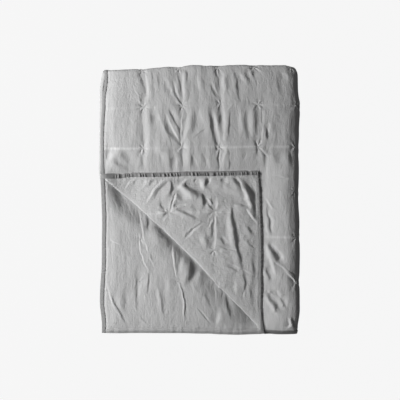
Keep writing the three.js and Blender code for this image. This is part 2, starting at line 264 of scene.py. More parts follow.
def noise(x, y, seed):
    """Smooth noise of about -1 to 1, with one swell in each unit of x and y."""
    knots = (NOISE_KNOTS, NOISE_KNOTS)
    angles = np.random.default_rng(seed).uniform(0, 2 * math.pi, knots)
    i = np.floor(x).astype(int)
    j = np.floor(y).astype(int)
    fx = x - i
    fy = y - j

    def corner(di, dj):
        angle = angles[(i + di) % NOISE_KNOTS, (j + dj) % NOISE_KNOTS]
        return np.cos(angle) * (fx - di) + np.sin(angle) * (fy - dj)

    low = corner(0, 0) + fade(fx) * (corner(1, 0) - corner(0, 0))
    high = corner(0, 1) + fade(fx) * (corner(1, 1) - corner(0, 1))
    return NOISE_SIZE * (low + fade(fy) * (high - low))


def ripples(layers, x, y):
    """Noises added up, each as (height, length along x, length along y, seed)."""
    return sum(height * noise(x / along_x, y / along_y, seed) for height, along_x, along_y, seed in layers)


def drift(kind, x, y):
    size, length, seeds = kind
    return [size * noise(x / length, y / length, seed) for seed in seeds]


# Places on the open cloth

def in_top_layer(u, v):
    return (u < HALF_WIDTH) & (v < HALF_LENGTH)


def border_distance(u, v):
    return np.minimum(np.minimum(u, WIDTH - u), np.minimum(v, LENGTH - v))


def along_border(u, v):
    return np.where(np.minimum(u, WIDTH - u) < np.minimum(v, LENGTH - v), v, u)


def past_crease(u, v):
    """How far a point of the top layer lies beyond the corner's crease, and 0 elsewhere."""
    return np.maximum((CORNER_CREASE - u - v) * DIAGONAL, 0)


def nearest(values, at):
    values = np.array(values, dtype=float)
    index = np.abs(at[:, None] - values[None, :]).argmin(axis=1)
    return index, at - values[index]


# Folding the cloth

def half_turn(along, radius):
    """A fold's angle at a length from its middle, and how far that lies past the fold."""
    angle = np.clip(along / radius, -QUARTER_TURN, QUARTER_TURN)
    return angle, np.maximum(np.abs(along) - QUARTER_TURN * radius, 0)


def top_fold(v):
    angle, past = half_turn(v - HALF_LENGTH, TOP_FOLD_RADIUS)
    normal_y = np.cos(angle)
    normal_depth = -np.sin(angle)
    return TOP_FOLD_RADIUS * normal_y - past, TOP_FOLD_RADIUS * normal_depth, normal_y, normal_depth


def side_fold(u, v, depth):
    slip = 1 - 2 * smooth(-SLIP_LENGTH, SLIP_LENGTH, v - HALF_LENGTH)
    angle, past = half_turn(u - HALF_WIDTH, SIDE_FOLD_RADIUS + TOP_FOLD_RADIUS * slip)
    radius = SIDE_FOLD_RADIUS + depth
    normal_x = np.cos(angle)
    normal_z = -np.sin(angle)
    return radius * normal_x - past, radius * normal_z, normal_x, normal_z


def folded_in_four(u, v):
    y, depth, normal_y, normal_depth = top_fold(v)
    x, z, normal_x, normal_z = side_fold(u, v, depth)
    point = np.stack((SIDE_AXIS_X + x, TOP_AXIS_Y + y, STACK_MIDDLE_Z + z), axis=1)
    normal = np.stack((normal_depth * normal_x, normal_y, normal_depth * normal_z), axis=1)
    return point, normal


def corner_section():
    """The turned corner's section by length past the crease: out, up and the angle turned."""
    past = np.arange(0, SECTION_LENGTH, SECTION_STEP)
    round_end = (math.pi - CORNER_LIFT) * CORNER_RADIUS
    crest = round_end + CORNER_CREST
    angle = np.minimum(past / CORNER_RADIUS, math.pi - CORNER_LIFT)
    angle += CORNER_LIFT * smooth(round_end, crest, past)
    fall = smooth(0, CORNER_FALL_FULL, past - crest) * (1 - smooth(*CORNER_FALL_ENDS, past - crest))
    crest_rise = np.sum(np.sin(angle)) * SECTION_STEP
    angle += (crest_rise - LAYER) / (np.sum(fall) * SECTION_STEP) * fall
    out = np.cumsum(np.cos(angle)) * SECTION_STEP
    rise = np.cumsum(np.sin(angle)) * SECTION_STEP
    return past, out, rise, angle


CORNER_SECTION = corner_section()
CORNER_LOW_END = folded_in_four(np.array([float(CORNER_CREASE)]), np.array([0.0]))[0][0]


def corner_shift(u, v, past, out, rise):
    """How the turned corner moves from its crease, with the fold's bulges and the pull of its edges."""
    arc = math.pi * CORNER_RADIUS
    on_fold = smooth(0, arc, past) * (1 - smooth(arc, arc + CREASE_BULGE_LENGTH, past))
    for middle, half_length, bulge in CREASE_BULGES:
        out = out + bulge * bell((u - v) * DIAGONAL - middle, half_length) * on_fold
    flatter = rising(CORNER_END_RISE, smooth(0, CORNER_END, np.minimum(u, v)))
    rise = np.minimum(rise, LAYER) + np.maximum(rise - LAYER, 0) * flatter
    by_edge = 1 - smooth(0, CORNER_STRETCH_LENGTH, v)
    rise = rise - CORNER_EDGE_FALL * by_edge * smooth(*CORNER_EDGE_FALLS, past)
    settled = smooth(0, CORNER_STRETCH_LENGTH, past)
    near_crease, far = CORNER_STRETCH
    stretch = near_crease + (far - near_crease) * smooth(*CORNER_STRETCH_GROWS, past)
    stretch = stretch * np.exp(-u / CORNER_STRETCH_LENGTH) * settled
    drawn_in = CORNER_DRAWN_IN * np.exp(-v / CORNER_STRETCH_LENGTH) * settled
    skew = CORNER_SKEW * np.exp(-u / CORNER_SKEW_LENGTH) * smooth(*CORNER_SKEW_GROWS, past)
    return np.stack((-out * DIAGONAL - skew - drawn_in, -out * DIAGONAL + stretch, rise), axis=1)


def draw_crease_ends(point, on_top):
    raised, reach = CORNER_END_RAISED
    from_end = np.hypot(point[:, 0] + HALF_X, point[:, 1] + HALF_Y - CORNER_CREASE)
    point[:, 1] += np.where(on_top, raised * bell(from_end, reach), 0)
    drawn, reach = CORNER_LOW_END_DRAWN
    from_low_end = np.hypot(point[:, 0] - CORNER_LOW_END[0], point[:, 1] - CORNER_LOW_END[1])
    point[:, 0] -= np.where(on_top, drawn * bell(from_low_end, reach), 0)


def turn_corner(u, v):
    past = past_crease(u, v)
    turned = past > 0
    point, normal = folded_in_four(u + past * DIAGONAL, v + past * DIAGONAL)
    out, rise, angle = (np.interp(past, CORNER_SECTION[0], values) for values in CORNER_SECTION[1:])
    point[turned] += corner_shift(u, v, past, out, rise)[turned]
    draw_crease_ends(point, in_top_layer(u, v))
    lean = np.sin(angle) * DIAGONAL
    normal[turned] = np.stack((lean, lean, np.cos(angle)), axis=1)[turned]
    return point, normal


def sink_to_edges(point, u, v):
    """The stack is thinner towards its edges, so its top falls away there as a pillow's does."""
    from_left = point[:, 0] + HALF_X
    from_bottom = point[:, 1] + HALF_Y
    propped = np.where(in_top_layer(u, v), 0, shift_at(LEFT_PROPPED, from_bottom))
    sinks = (
        (LEFT_SINK, from_left, 1 - propped),
        (RIGHT_SINK, HALF_X - point[:, 0], shift_at(RIGHT_ROUNDING, from_bottom)),
        (BOTTOM_SINK, from_bottom, 1),
        (TOP_SINK, HALF_Y - point[:, 1], 1),
        (BOTTOM_HANG, from_bottom, smooth(*BOTTOM_HANGS_FROM, from_left)),
    )
    for (share, reach), inside, part in sinks:
        short = 1 - np.clip(inside / reach, 0, 1)
        point[:, 2] *= 1 - share * part * short ** 2


def sag_under_corner(point, u, v):
    x = point[:, 0] + HALF_X
    y = point[:, 1] + HALF_Y
    from_fold = (HOLLOW_LINE - x - y) * DIAGONAL
    along = (x - y) * DIAGONAL
    width = shift_at(HOLLOW_WIDTH, along)
    near = 1 - smooth(HOLLOW_RISES[0] * width, HOLLOW_RISES[1] * width, from_fold)
    near = near * (1 - smooth(*HOLLOW_UNDER_CORNER, -from_fold))
    near = near * smooth(*HOLLOW_FROM_LEFT, x) * smooth(*HOLLOW_FROM_BOTTOM, y)
    share = shift_at(HOLLOW, along) * np.where(in_top_layer(u, v), HOLLOW_IN_TOP_LAYER, 1)
    point[:, 2] *= 1 - share * near
    pressed = np.ones_like(x)
    for step, begins, ends in PRESSED_RIGHT:
        pressed -= step * smooth(begins, ends, x)
    pressed *= 1 - PRESSED_LEFT_OF_FOLD * smooth(*PRESSED_EASES, from_fold)
    pressed *= 1 - smooth(*PRESSED_TOP, y)
    pressed *= smooth(*PRESSED_FROM_LEFT, x) * rising(PRESSED_AT_BOTTOM, smooth(*PRESSED_FROM_BOTTOM, y))
    point[:, 2] *= 1 - PRESSED_SHARE * pressed


def shift_left_edges(point, u, v):
    """At the left the layers' edges lie a little apart."""
    lower = shift_at(LOWER_LAYERS_LEFT, point[:, 1])
    lower += (u < HALF_WIDTH) * (v > HALF_LENGTH) * shift_at(SECOND_LAYER_INSET, point[:, 1])
    shift = np.where(in_top_layer(u, v), shift_at(TOP_LAYER_LEFT, point[:, 1]), lower)
    point[:, 0] += shift * (1 - smooth(*LEFT_SHIFT_ENDS, point[:, 0] + HALF_X))


def curl_left_edges(point, u, v):
    on_corner = in_top_layer(u, v) & (u + v <= CORNER_CREASE)
    curling = np.where(in_top_layer(u, v), np.where(on_corner, 0, TOP_LAYER_CURL), LEFT_CURL)
    curled = np.clip(curling - np.minimum(u, WIDTH - u), 0, LEFT_CURL)
    curled = curled * smooth(*LEFT_CURLS_FROM, point[:, 1] + HALF_Y)
    turned = curled / LEFT_CURL_RADIUS
    point[:, 0] += curled - LEFT_CURL_RADIUS * np.sin(turned)
    point[:, 2] -= LEFT_CURL_RADIUS * (1 - np.cos(turned))


def droop_edges(point, u, v):
    """Bound edges lie down on what is under them, in small waves."""
    distance = border_distance(u, v)
    top_layer = in_top_layer(u, v)
    straight = top_layer & (u + v > CORNER_CREASE)
    droop = np.where(top_layer, TOP_LAYER_DROOP, EDGE_DROOP)
    droop = np.where(straight & (u < RIM), TOP_LAYER_LEFT_DROOP, droop)
    droop = np.where(LENGTH - v < RIM, INNER_SHORT_DROOP, droop)
    droop = np.where(top_layer & ~straight & (v < RIM), TURNED_EDGE_DROOP, droop)
    point[:, 2] -= droop * (1 - smooth(*DROOP_ENDS, distance))
    along = along_border(u, v)
    wave = np.zeros_like(along)
    for share, length, row, seed in EDGE_WAVES:
        wave += share * noise(along / length, np.full_like(along, row), seed)
    size = np.where(v < RIM, OUTER_SHORT_WAVE, 1) * np.where(u < HALF_WIDTH, EDGE_WAVE, 0)
    point[:, 2] += size * wave * (1 - smooth(*EDGE_WAVE_ENDS, distance))


def make_uneven(point):
    x = point[:, 0].copy()
    y = point[:, 1].copy()
    right = x / STACK_WIDTH + 0.5
    up = y / STACK_LENGTH + 0.5
    point[:, 0] += shift_at(RIGHT_EDGE, y) * right ** 2 + shift_at(LEFT_EDGE, y) * (1 - right) ** 2
    point[:, 1] += shift_at(TOP_EDGE, x) * up ** 2 + shift_at(BOTTOM_EDGE, x) * (1 - up) ** 2


def place(u, v, w):
    """Where a point of the cloth lies in the folded stack."""
    point, normal = turn_corner(u, v)
    point += normal * np.reshape(w, (-1, 1))
    for shape in (sink_to_edges, sag_under_corner, shift_left_edges, curl_left_edges, droop_edges):
        shape(point, u, v)
    make_uneven(point)
    point[:, :2] += np.stack(drift(CLOTH_DRIFT, u, v), axis=1)
    point[:, 2] = np.maximum(point[:, 2], 0)
    return point


# Thickness of the filled cloth

def edge_half(border):
    """Half the thickness of the bare cloth inside the binding, thin at the very edge."""
    return EDGE_THICKNESS / 2 - EDGE_TAPER * (1 - smooth(0, BINDING_WIDTH, border))


def half_thickness(u, v):
    _, across = nearest(TUFT_COLUMNS, u)
    _, along = nearest(TUFT_ROWS, v)
    distance = np.hypot(across, along)
    dent = np.exp(-(distance / TUFT_DENT) ** TUFT_DENT_POWER)
    lines = bell(across, TUFT_LINE) + bell(along, TUFT_LINE)
    pinches = (dent, bell(distance, TUFT_BASIN), lines)
    pinch = sum(share * part for share, part in zip(TUFT_SHARES, pinches))
    filled = LOFT / 2 - (LOFT - TUFT_THICKNESS) / 2 * np.minimum(pinch, 1)
    border = border_distance(u, v)
    share = smooth(*FILLED_BORDER, border)
    edge = edge_half(border)
    on_top = in_top_layer(u, v)
    by_corner = smooth(*CORNER_WELT_FROM_TIP, u) * smooth(*CORNER_WELT_FROM_CREASE, past_crease(u, v))
    welts = ridge(SEAM_WELT, border) + ridge(CORNER_WELT, v) * by_corner * on_top
    from_fold = (CORNER_CREASE - u - v) * DIAGONAL - CORNER_RADIUS * QUARTER_TURN
    folded_flat = CORNER_THINNED * bell(from_fold, CORNER_THINNED_LENGTH) * on_top * share
    return edge + (filled - edge) * share + welts - folded_flat


def rest_on_floor(u, v):
    """1 where the face of the bottom layer lies on the floor."""
    past_folds = smooth(*FLAT_PAST_SIDE_FOLD, u - HALF_WIDTH) * smooth(*FLAT_PAST_TOP_FOLD, HALF_LENGTH - v)
    return past_folds * smooth(*FLAT_FROM_BORDER, border_distance(u, v))


# Creases, by layer: (slope, half width, points in centimetres from the stack's lower left corner).
# A crease is a soft step: the cloth dips on its left and rises on its right, or the other way round
# where the slope is negative.
FACE_CREASES = (
    # Left third, about the first column of tufts
    (1.6, 12, (1.8, 57.6), (3, 60), (5.6, 61)),
    (-1.2, 12, (6, 60.6), (8.4, 58), (9.6, 55.4)),
    (-2, 11, (3.2, 58), (6.2, 56.2), (9.2, 54.7)),
    (0.8, 4, (10.2, 83.9), (11.3, 81.1), (12.7, 78.6)),
    (-0.9, 5, (12.1, 80.3), (13.2, 77.3)),
    (-0.5, 6, (11.9, 88), (13.6, 84), (14.3, 81)),
    (0.9, 6, (14.8, 87.2), (15.2, 83.1), (15.4, 78.9)),
    (-0.8, 5, (16.6, 88), (17, 84.6)),
    (0.7, 10, (14.5, 74.8), (15, 69.2), (15.2, 65), (14.9, 62)),
    (-0.6, 5, (13.1, 74.8), (13.2, 70), (13.6, 63.6)),
    (-0.6, 10, (16.5, 73.6), (17.1, 70.3)),
    (0.6, 8, (17.9, 74.8), (20.7, 68.4), (22.1, 65)),
    (-0.7, 7, (19.4, 72), (21.8, 67.6), (23, 64.2)),
    (0.8, 8, (14.7, 60.9), (14.5, 58.1), (14, 54.5)),
    (-0.6, 5, (13.3, 60.9), (13.2, 55.3)),
    (0.6, 12, (17.9, 61), (20.2, 60), (21.4, 57)),
    (-1.2, 7, (22.7, 59), (23.1, 56.6), (23.3, 54.5)),
    (1, 6, (25.2, 59.5), (25, 57), (24.9, 54.5)),
    # Second column
    (1.1, 7, (25.7, 88.6), (26.8, 86.7), (27.4, 83.1), (27.2, 77.5)),
    (-1.2, 5, (28.3, 88.1), (28.5, 84.5)),
    (-0.9, 5, (25.2, 86.7), (26.3, 83.1), (26.7, 80.3)),
    (0.8, 4, (24.4, 88.4), (25.1, 86.4)),
    (1.1, 5, (23.6, 85.3), (24.6, 82.2), (26.5, 77.5)),
    (-0.9, 5, (23.8, 81.7), (24.9, 79.5), (26.3, 77)),
    (0.7, 6, (22.1, 84.8), (23.2, 80.9), (24, 79.5)),
    (-0.5, 7, (20.6, 84), (21.6, 80)),
    (-0.5, 6, (18.4, 87), (19, 83)),
    (-1.1, 5, (22.4, 75), (23.5, 72.5), (25.4, 68.9)),
    (0.9, 8, (23.5, 75.9), (25.1, 72.5), (26, 70.3)),
    (1.3, 5, (21.3, 73.4), (22.9, 70), (24.9, 65.9), (26.8, 62.8)),
    (-0.8, 7, (21, 71.4), (22.6, 67), (25.7, 63.4)),
    (-0.9, 5, (24.9, 70.3), (26, 67)),
    (1.3, 3.5, (26.8, 73.4), (26.5, 69.2), (26.7, 64.8)),
    (1.1, 8, (29, 73.4), (28.2, 67.8), (27.6, 63.6)),
    (-0.75, 8, (31.3, 74.2), (31, 70.3), (29.6, 67)),
    (0.8, 12, (32.6, 75.9), (33.2, 72), (33.5, 69.7)),
    (-1, 3.5, (29.9, 65), (32.4, 67), (34.9, 68.9), (37.4, 69.5)),
    (0.9, 12, (27.9, 61.4), (28.2, 58.1), (28.5, 54.5)),
    (-0.9, 4, (26.5, 60.9), (26.6, 56.7)),
    (-0.9, 7, (30.1, 59.5), (29.9, 55.6)),
    (0.7, 6, (31.3, 58.6), (32.4, 55.6)),
    (-0.6, 7, (33.6, 60), (34.4, 57)),
    # Third column
    (0.9, 4, (38.2, 88.6), (38.8, 86.4)),
    (-1, 4, (37.6, 88), (38.4, 85.8)),
    (1, 4, (36.8, 84.8), (37.6, 82.2), (38.8, 79.8)),
    (-1.1, 5, (36.3, 83.4), (37.4, 80.3), (38.2, 78.9)),
    (-0.5, 7, (33.4, 86), (34.4, 81)),
    (0.5, 7, (32, 87), (32.4, 82)),
    (0.8, 7, (40.7, 87.2), (40.8, 83.1), (40.4, 78.6)),
    (-0.9, 4, (39, 85.9), (39.3, 81.7)),
    (-0.8, 8, (41.8, 86.7), (42.1, 81.4)),
    (1, 3.5, (39.3, 77.2), (38.2, 73.9)),
    (1, 7, (40.2, 77.2), (40.7, 74.8), (41, 70.6), (40.7, 65)),
    (-1, 6, (39.6, 73.4), (39.3, 70.3)),
    (1, 3.5, (41.8, 74.5), (42.6, 75.9), (43.9, 77)),
    (-1.3, 5, (42.8, 74.2), (42.8, 69.8), (42.4, 66.4)),
    (-1.3, 6, (36, 75), (36.5, 71.4), (37.1, 67), (37.9, 63.9)),
    (1.3, 7, (37.4, 74.2), (38.2, 70.3), (39, 66.4), (39.9, 63.4)),
    (0.7, 6, (40.4, 66.4), (41, 64.5)),
    (-1.9, 3.5, (38.9, 62), (38.9, 58), (39, 54.5)),
    (1.1, 3.5, (39.5, 62), (39.5, 58), (39.6, 54.6)),
    (1.1, 6, (41.1, 62.2), (40.8, 58.6), (40.4, 54.5)),
    (-1.5, 4, (42.6, 58.4), (42.6, 54.8)),
    (-0.9, 5, (37.9, 62.8), (38.5, 60.9)),
    (-0.9, 4, (42.1, 62), (42.5, 59.5)),
    (0.6, 6, (35, 58.6), (36.4, 55)),
    # Between the third and the fourth column
    (-0.9, 6, (44.3, 87.8), (45.4, 84.2), (45.2, 79.5)),
    (0.7, 6, (46, 88.1), (47.4, 84.5)),
    (-0.9, 6, (47.9, 87.8), (49.3, 83.9)),
    (0.6, 6, (49, 88.6), (50.4, 85.9)),
    (-0.9, 6, (50.2, 88.3), (51.8, 84.2)),
    (0.7, 5, (51.1, 86.6), (52.6, 83)),
    (-0.6, 7, (45.3, 84.4), (46.3, 76.9), (46.8, 74.5)),
    (0.7, 8, (46, 76.9), (46.3, 69.7), (46.4, 66.4)),
    (-0.9, 8, (47.5, 74), (48, 68.5), (49.2, 65.1)),
    (0.8, 9, (49.2, 76), (49.7, 70.9), (49.9, 65.4)),
    (-0.9, 7, (51.5, 76), (51.6, 72.1), (51.7, 67.3)),
    (0.8, 4, (47.4, 58), (48.6, 60)),
    # Fourth column and the right strip
    (-0.8, 4, (53.3, 75.7), (53.3, 69.7)),
    (0.8, 4, (53.8, 69.7), (53.5, 64.9)),
    (-0.9, 5, (55.3, 68.2), (55.3, 65.1)),
    (0.5, 6, (55.9, 70.7), (56.2, 67.3)),
    (-0.4, 8, (58.5, 86), (59.8, 80)),
    (0.4, 9, (60.4, 88), (62.6, 85)),
    (-1, 3.5, (53, 65.1), (53, 62.9)),
    (-0.8, 6, (51.6, 64.1), (52, 60)),
    (1.1, 4, (53, 62.7), (55, 59.8), (55.7, 59.1)),
    (-0.6, 6, (53.3, 61.7), (54.4, 60), (54.5, 55.7)),
    (0.5, 5, (55, 59.1), (55.4, 55.2), (55.2, 50)),
    (-0.4, 8, (58, 60.6), (58.8, 57)),
    (-0.4, 8, (62.6, 61), (63.4, 57)),
    (1.1, 4, (57.6, 52.8), (60, 52.6), (62.4, 52.1)),
    (1.4, 4, (54.9, 45.1), (56, 43.4), (57.2, 41.4)),
    (-1, 7, (55, 43.2), (56, 38.4), (56.8, 33.6)),
    (0.9, 6, (56, 41), (57, 37), (57.4, 33.8)),
    (0.8, 5, (55, 37), (55.6, 32.9)),
    (1.7, 6, (55, 29.8), (55.8, 26.1), (56.8, 23), (58, 19.6)),
    (-1.7, 9, (55, 30.2), (57.2, 27.6), (59.6, 24.1)),
    (1, 6, (56.8, 30), (59, 27.6), (61, 25)),
    (1.2, 3.5, (58.1, 24), (60.2, 22.2), (61.6, 21)),
    (1.6, 3.5, (61.5, 20.5), (63.5, 18.6), (65.7, 16.2)),
    (-1.2, 3.5, (62, 21.4), (64.2, 19.6), (66.1, 15.5)),
    (-1.4, 7, (54.9, 22.4), (55.4, 20.1), (56.5, 17.9)),
    (1.2, 4, (55, 14.8), (57, 12.8), (59, 10.6)),
    (-1.4, 12, (55, 13), (57.2, 10.3), (59.4, 8.1)),
    (1.4, 6, (55, 11.8), (56.5, 9), (58.2, 6.8)),
    (1, 6, (58.3, 14.8), (60.1, 11.8)),
    (-1, 6, (59.3, 12.6), (61.6, 8.5)),
    (1.5, 5, (62.6, 4.8), (63, 2.9), (62.4, 1.8)),
    (-1.4, 5, (63.6, 4.8), (64, 2.9), (64.4, 1.8)),
)
CORNER_CREASES = (
    (1.1, 4, (21.3, 52.2), (18.1, 49.3), (14.8, 43.8)),
    (-0.9, 6, (22.4, 51.8), (19.2, 48.6), (16.2, 44.6)),
    (1, 4, (10.2, 51.6), (9, 50.4), (7.5, 48.4)),
    (-0.9, 5, (11.6, 52.2), (10.2, 50)),
    (-0.9, 6, (17.3, 52.2), (15.5, 49.7)),
    (0.7, 5, (15.6, 52.4), (13.6, 49.4)),
    (-1, 7, (23.2, 51.6), (23.4, 48.6), (22.6, 45.6)),
    (1.2, 6, (29.3, 52.6), (27.1, 50.7), (25.3, 48.6)),
    (1.1, 4, (25, 47.1), (23.7, 43.5), (23.1, 40.9)),
    (-1, 4, (24.2, 46.7), (23, 42.8)),
    (-2.6, 9, (27.1, 49.7), (29.3, 48.2), (33, 46.8)),
    (-1.4, 7, (33.9, 47.1), (34.2, 44.6), (34, 42.4)),
    (1.8, 8, (32.8, 51.3), (33.4, 48.8), (35.4, 47.6)),
    (1.1, 9, (25.7, 48.6), (28.6, 47.1), (30, 45.7)),
    (-1, 8, (25, 46.8), (27.1, 44.6)),
    (1.7, 5, (37, 52.6), (35.5, 50.4)),
    (-1.5, 6, (35.1, 52.6), (34.6, 49.6)),
    (-0.7, 6, (31.4, 52.6), (31, 50.6)),
    (-0.7, 6, (40.6, 52.6), (40, 50.6)),
    (0.7, 6, (42, 52.6), (41.6, 50.4)),
    (2.2, 5, (24.2, 42.4), (26.2, 42.6), (28.2, 42.4)),
    (-2, 6, (24.6, 41.7), (29.3, 39.8), (31.5, 38.8)),
    (-2, 6, (19.2, 43.1), (21.3, 41.3)),
    (-2, 6, (18.8, 41.3), (21.3, 40.6)),
    (1, 4, (22.1, 39.8), (20.2, 37.3)),
    (-1.1, 3.5, (33, 36.9), (30.4, 35.1), (28.6, 33.7), (27.5, 31.8)),
    (0.9, 3.5, (33.5, 36.5), (31, 34.7), (27.9, 31.6)),
    (1.2, 4, (38.6, 44.6), (38, 41), (38, 35.1), (37.9, 29.3)),
    (1.2, 4, (37.4, 40.7), (39.4, 40.9), (41.4, 40.6)),
    (-0.9, 5, (36.6, 44.6), (37.2, 41.7)),
    (-0.8, 5, (36.9, 38), (36.8, 31)),
    (1.4, 4, (35.4, 44.7), (37.3, 42.7)),
    (-1.4, 5, (35.1, 43.5), (37.3, 41.3)),
    (0.9, 4, (37, 38.8), (35.9, 35.8)),
    (-1.1, 6, (39.5, 31.8), (41.3, 30)),
    (0.8, 5, (40.6, 32.4), (42, 30.8)),
    (-1.4, 5, (39.5, 29), (41.7, 28), (45.3, 27.5)),
    (1.1, 5, (39.5, 27), (42, 26.2)),
    (-1.5, 6, (43.3, 42.4), (43.7, 38.8), (44.4, 34.4), (45.2, 29.3), (46.3, 25), (46.9, 22)),
    (-0.9, 6, (47.5, 20.6), (48, 17), (48, 13.7)),
    (0.8, 4, (47.9, 14), (47.3, 12.2)),
    (0.7, 3.5, (41.3, 24), (44.6, 22.6), (47.9, 21.1), (50.4, 19.7), (52.9, 18.8)),
    (-1.1, 5, (41, 22.8), (43.4, 21.8), (46, 20.6)),
    (1.7, 6, (45.2, 52.9), (46.5, 50), (47.8, 47.5), (48.8, 44.9), (49.6, 42)),
    (-1.6, 9, (47.2, 51.5), (49, 48.6), (51, 45)),
    (-0.9, 7, (50.2, 45), (51.1, 42), (52, 38.5)),
    (1.8, 5, (48.3, 41.9), (50, 39.7), (51.8, 37.1)),
    (-1.5, 9, (43.5, 52.6), (46, 50), (48.6, 47.5)),
    (-2, 6, (44.6, 43.3), (46.8, 43.1), (48.9, 42.4)),
    (1, 12, (35.9, 48.6), (41.3, 47.8), (46.8, 46.4)),
    (-0.8, 6, (48.6, 36), (50.6, 33)),
    (-0.7, 6, (48.4, 31.4), (50.4, 28.6)),
    (0.6, 8, (42.4, 40), (42.6, 34), (43.4, 29)),
    (-0.6, 8, (30.6, 43), (31.2, 39.4)),
    (0.6, 8, (33, 33), (34, 29.6)),
    (-0.6, 8, (35.4, 33), (36, 28)),
    (-0.6, 6, (50.6, 24), (51, 20)),
    (0.6, 6, (44.4, 18), (45, 13)),
    (-0.6, 6, (49.6, 17), (50.4, 10)),
)
UNDER_CREASES = (
    (-2.2, 14, (18.2, 36), (21, 33.2), (23.6, 30.4)),
    (-2, 14, (25.4, 29), (29, 25.2), (32, 22)),
    (-1.4, 10, (33, 21.4), (36, 18.4)),
    (0.9, 3.5, (2.8, 47.2), (4.4, 46.6), (6, 46)),
    (0.8, 3.5, (3.6, 45.8), (4.6, 43), (5.4, 40.6)),
    (1.6, 3, (7.9, 45.3), (9.3, 41.3), (10.4, 38.8)),
    (1.8, 3, (11.5, 43.5), (12.6, 39.5), (13.7, 33.7), (14.1, 30.8)),
    (1.5, 3, (12.2, 30.8), (13, 26.8), (15.5, 20.2)),
    (1.5, 3, (14.1, 30.4), (15.9, 26), (17, 22.6)),
    (-1, 4, (14.9, 28.4), (16.6, 24.4)),
    (-1.3, 4, (15.7, 19.9), (15.5, 17), (15, 13.7)),
    (-2, 6, (14.6, 40.6), (15.3, 38), (15.2, 35.8)),
    (0.7, 7, (15.9, 38.6), (16.4, 34)),
    (-1.3, 12, (17.7, 36.6), (19.2, 34.8), (21.3, 33.2)),
    (-1.6, 9, (21.3, 33.4), (23.3, 30.8)),
    (1.6, 3.5, (23.5, 30), (23.7, 26), (24.6, 18.4)),
    (-1.2, 4, (24.6, 29.3), (24.6, 24.2)),
    (-1.3, 8, (25.3, 30), (26, 25.7), (25.7, 23.1)),
    (0.7, 8, (26.8, 26), (26, 20.6)),
    (-1.5, 11, (30, 24.6), (30, 19.9), (28.6, 17)),
    (0.7, 5, (30, 25.2), (29.3, 23.1)),
    (-0.8, 9, (33.6, 21), (33.4, 17)),
    (1.1, 3.5, (25.1, 17.3), (26.6, 14), (27.3, 9.7), (27.5, 4.6)),
    (-1.5, 4, (26.1, 16.6), (27.1, 13.3), (27.8, 8.6), (28, 4.6)),
    (-1.1, 3.5, (31.9, 8.2), (33.7, 6.1), (35.9, 3.5)),
    (0.9, 3.5, (32.5, 8.2), (34.3, 6.1), (36.4, 3.6)),
    (-1.4, 5, (38.4, 17), (40.2, 14), (40.2, 11.1)),
    (0.8, 5, (37.8, 15.6), (38.2, 12)),
    (-1.4, 6, (41.3, 13.4), (42.4, 8.2), (43.5, 5.3)),
    (0.8, 7, (42.6, 12.4), (43.8, 9)),
    (-1.7, 9, (44, 10.8), (47.5, 7.1), (51.4, 3.6)),
    (1, 8, (38.4, 3.2), (39.2, 5), (39.6, 7.4)),
    (-0.7, 5, (11.5, 22), (11.3, 15.1), (11.5, 7.9)),
    (0.6, 6, (12.8, 17), (12.4, 12)),
    (-0.6, 6, (19.5, 13.3), (20.6, 6.1)),
    (0.6, 6, (18.4, 15), (19, 9)),
    (-0.5, 8, (7, 14), (7.4, 8)),
    (0.5, 8, (21.4, 20), (22, 13)),
    (-0.6, 7, (34.4, 14), (36, 9)),
    (-0.9, 3.5, (12.6, 5.7), (13.8, 4.2), (15.2, 2.8)),
    (1, 4, (1.3, 18), (2.4, 13.2), (4.2, 7.3)),
    (-1.3, 5, (3.1, 12.6), (5, 8.6), (6.4, 6.2), (7.8, 3.4)),
    (0.9, 3.5, (2.4, 31.6), (4.4, 30.4), (6, 29.6)),
)

# A crease acts within CREASE_REACH half widths, and its step is NARROW_STEP or BROAD_STEP half widths
# broad, by whether the half width is under NARROW_CREASE. Its ends taper to what they have at CREASE_TIP
# of its path, and AWAY_FROM_WINDOW tells its left from its right.
CREASE_SLOPE = 0.46
CREASE_REACH = 6
NARROW_CREASE = 6
NARROW_STEP = 1.24
BROAD_STEP = 1.7
CREASE_TIP = 0.02
AWAY_FROM_WINDOW = (0.99, -0.14)

# Pleats round a tuft: waves in a turn, their sizes, where they crest, how far they run, and their shares
# there, then how strong they are across the cloth
RAY_COUNTS = range(3, 9)
RAY_SIZES = (0.3, 1)
RAY_CREST = 9
RAY_LENGTH = 34
RAY_SHARES = (0.7, 0.3)
RAY_ACROSS = 0.55

# Valleys along the columns of tufts, from the left: depths, width, drift (size, length) and unevenness
# (mean, swing, length), with each column on its own row of the noise
COLUMN_DEPTHS = (1.9, 2.4, 2.6, 0.9, 0)
COLUMN_WIDTH = 12
COLUMN_DRIFT = (4, 70)
COLUMN_UNEVEN = (0.75, 0.6, 90)
COLUMN_NOISE_ROWS = (7.3, 3.7)

# Ripples of each layer: (height, length across, length along, seed). Those of the seam run along it.
FACE_RIPPLES = ((1.1, 24, 120, 31), (0.4, 14, 46, 32))
CORNER_RIPPLES = ((1.1, 18, 20, 41), (2.2, 60, 30, 43))
UNDER_RIPPLES = ((0.8, 26, 90, 51),)
SEAM_GATHERS = ((0.8, 9, 60, 61), (0.48, 5, 40, 62))
SEAM_GATHERS_LENGTH = 13

# How strong the pleats, valleys and creases are on each layer, and on the strip right of the corner
FACE_RAYS = 0.75
CORNER_RAYS = 2.1
UNDER_RAYS = 0.4
UNDER_VALLEYS = 0.7
CORNER_CREASED = 3.1
UNDER_CREASED = 1.45
STRIP_STRONGER = 1.3
STRIP_FROM = (530, 560)

# The face rises beside the turned corner: (height, place, half width)
BESIDE_CORNER = (1.5, 17, 11)
BESIDE_CORNER_FROM = (20, 120)
BESIDE_CORNER_TO = (480, 530)

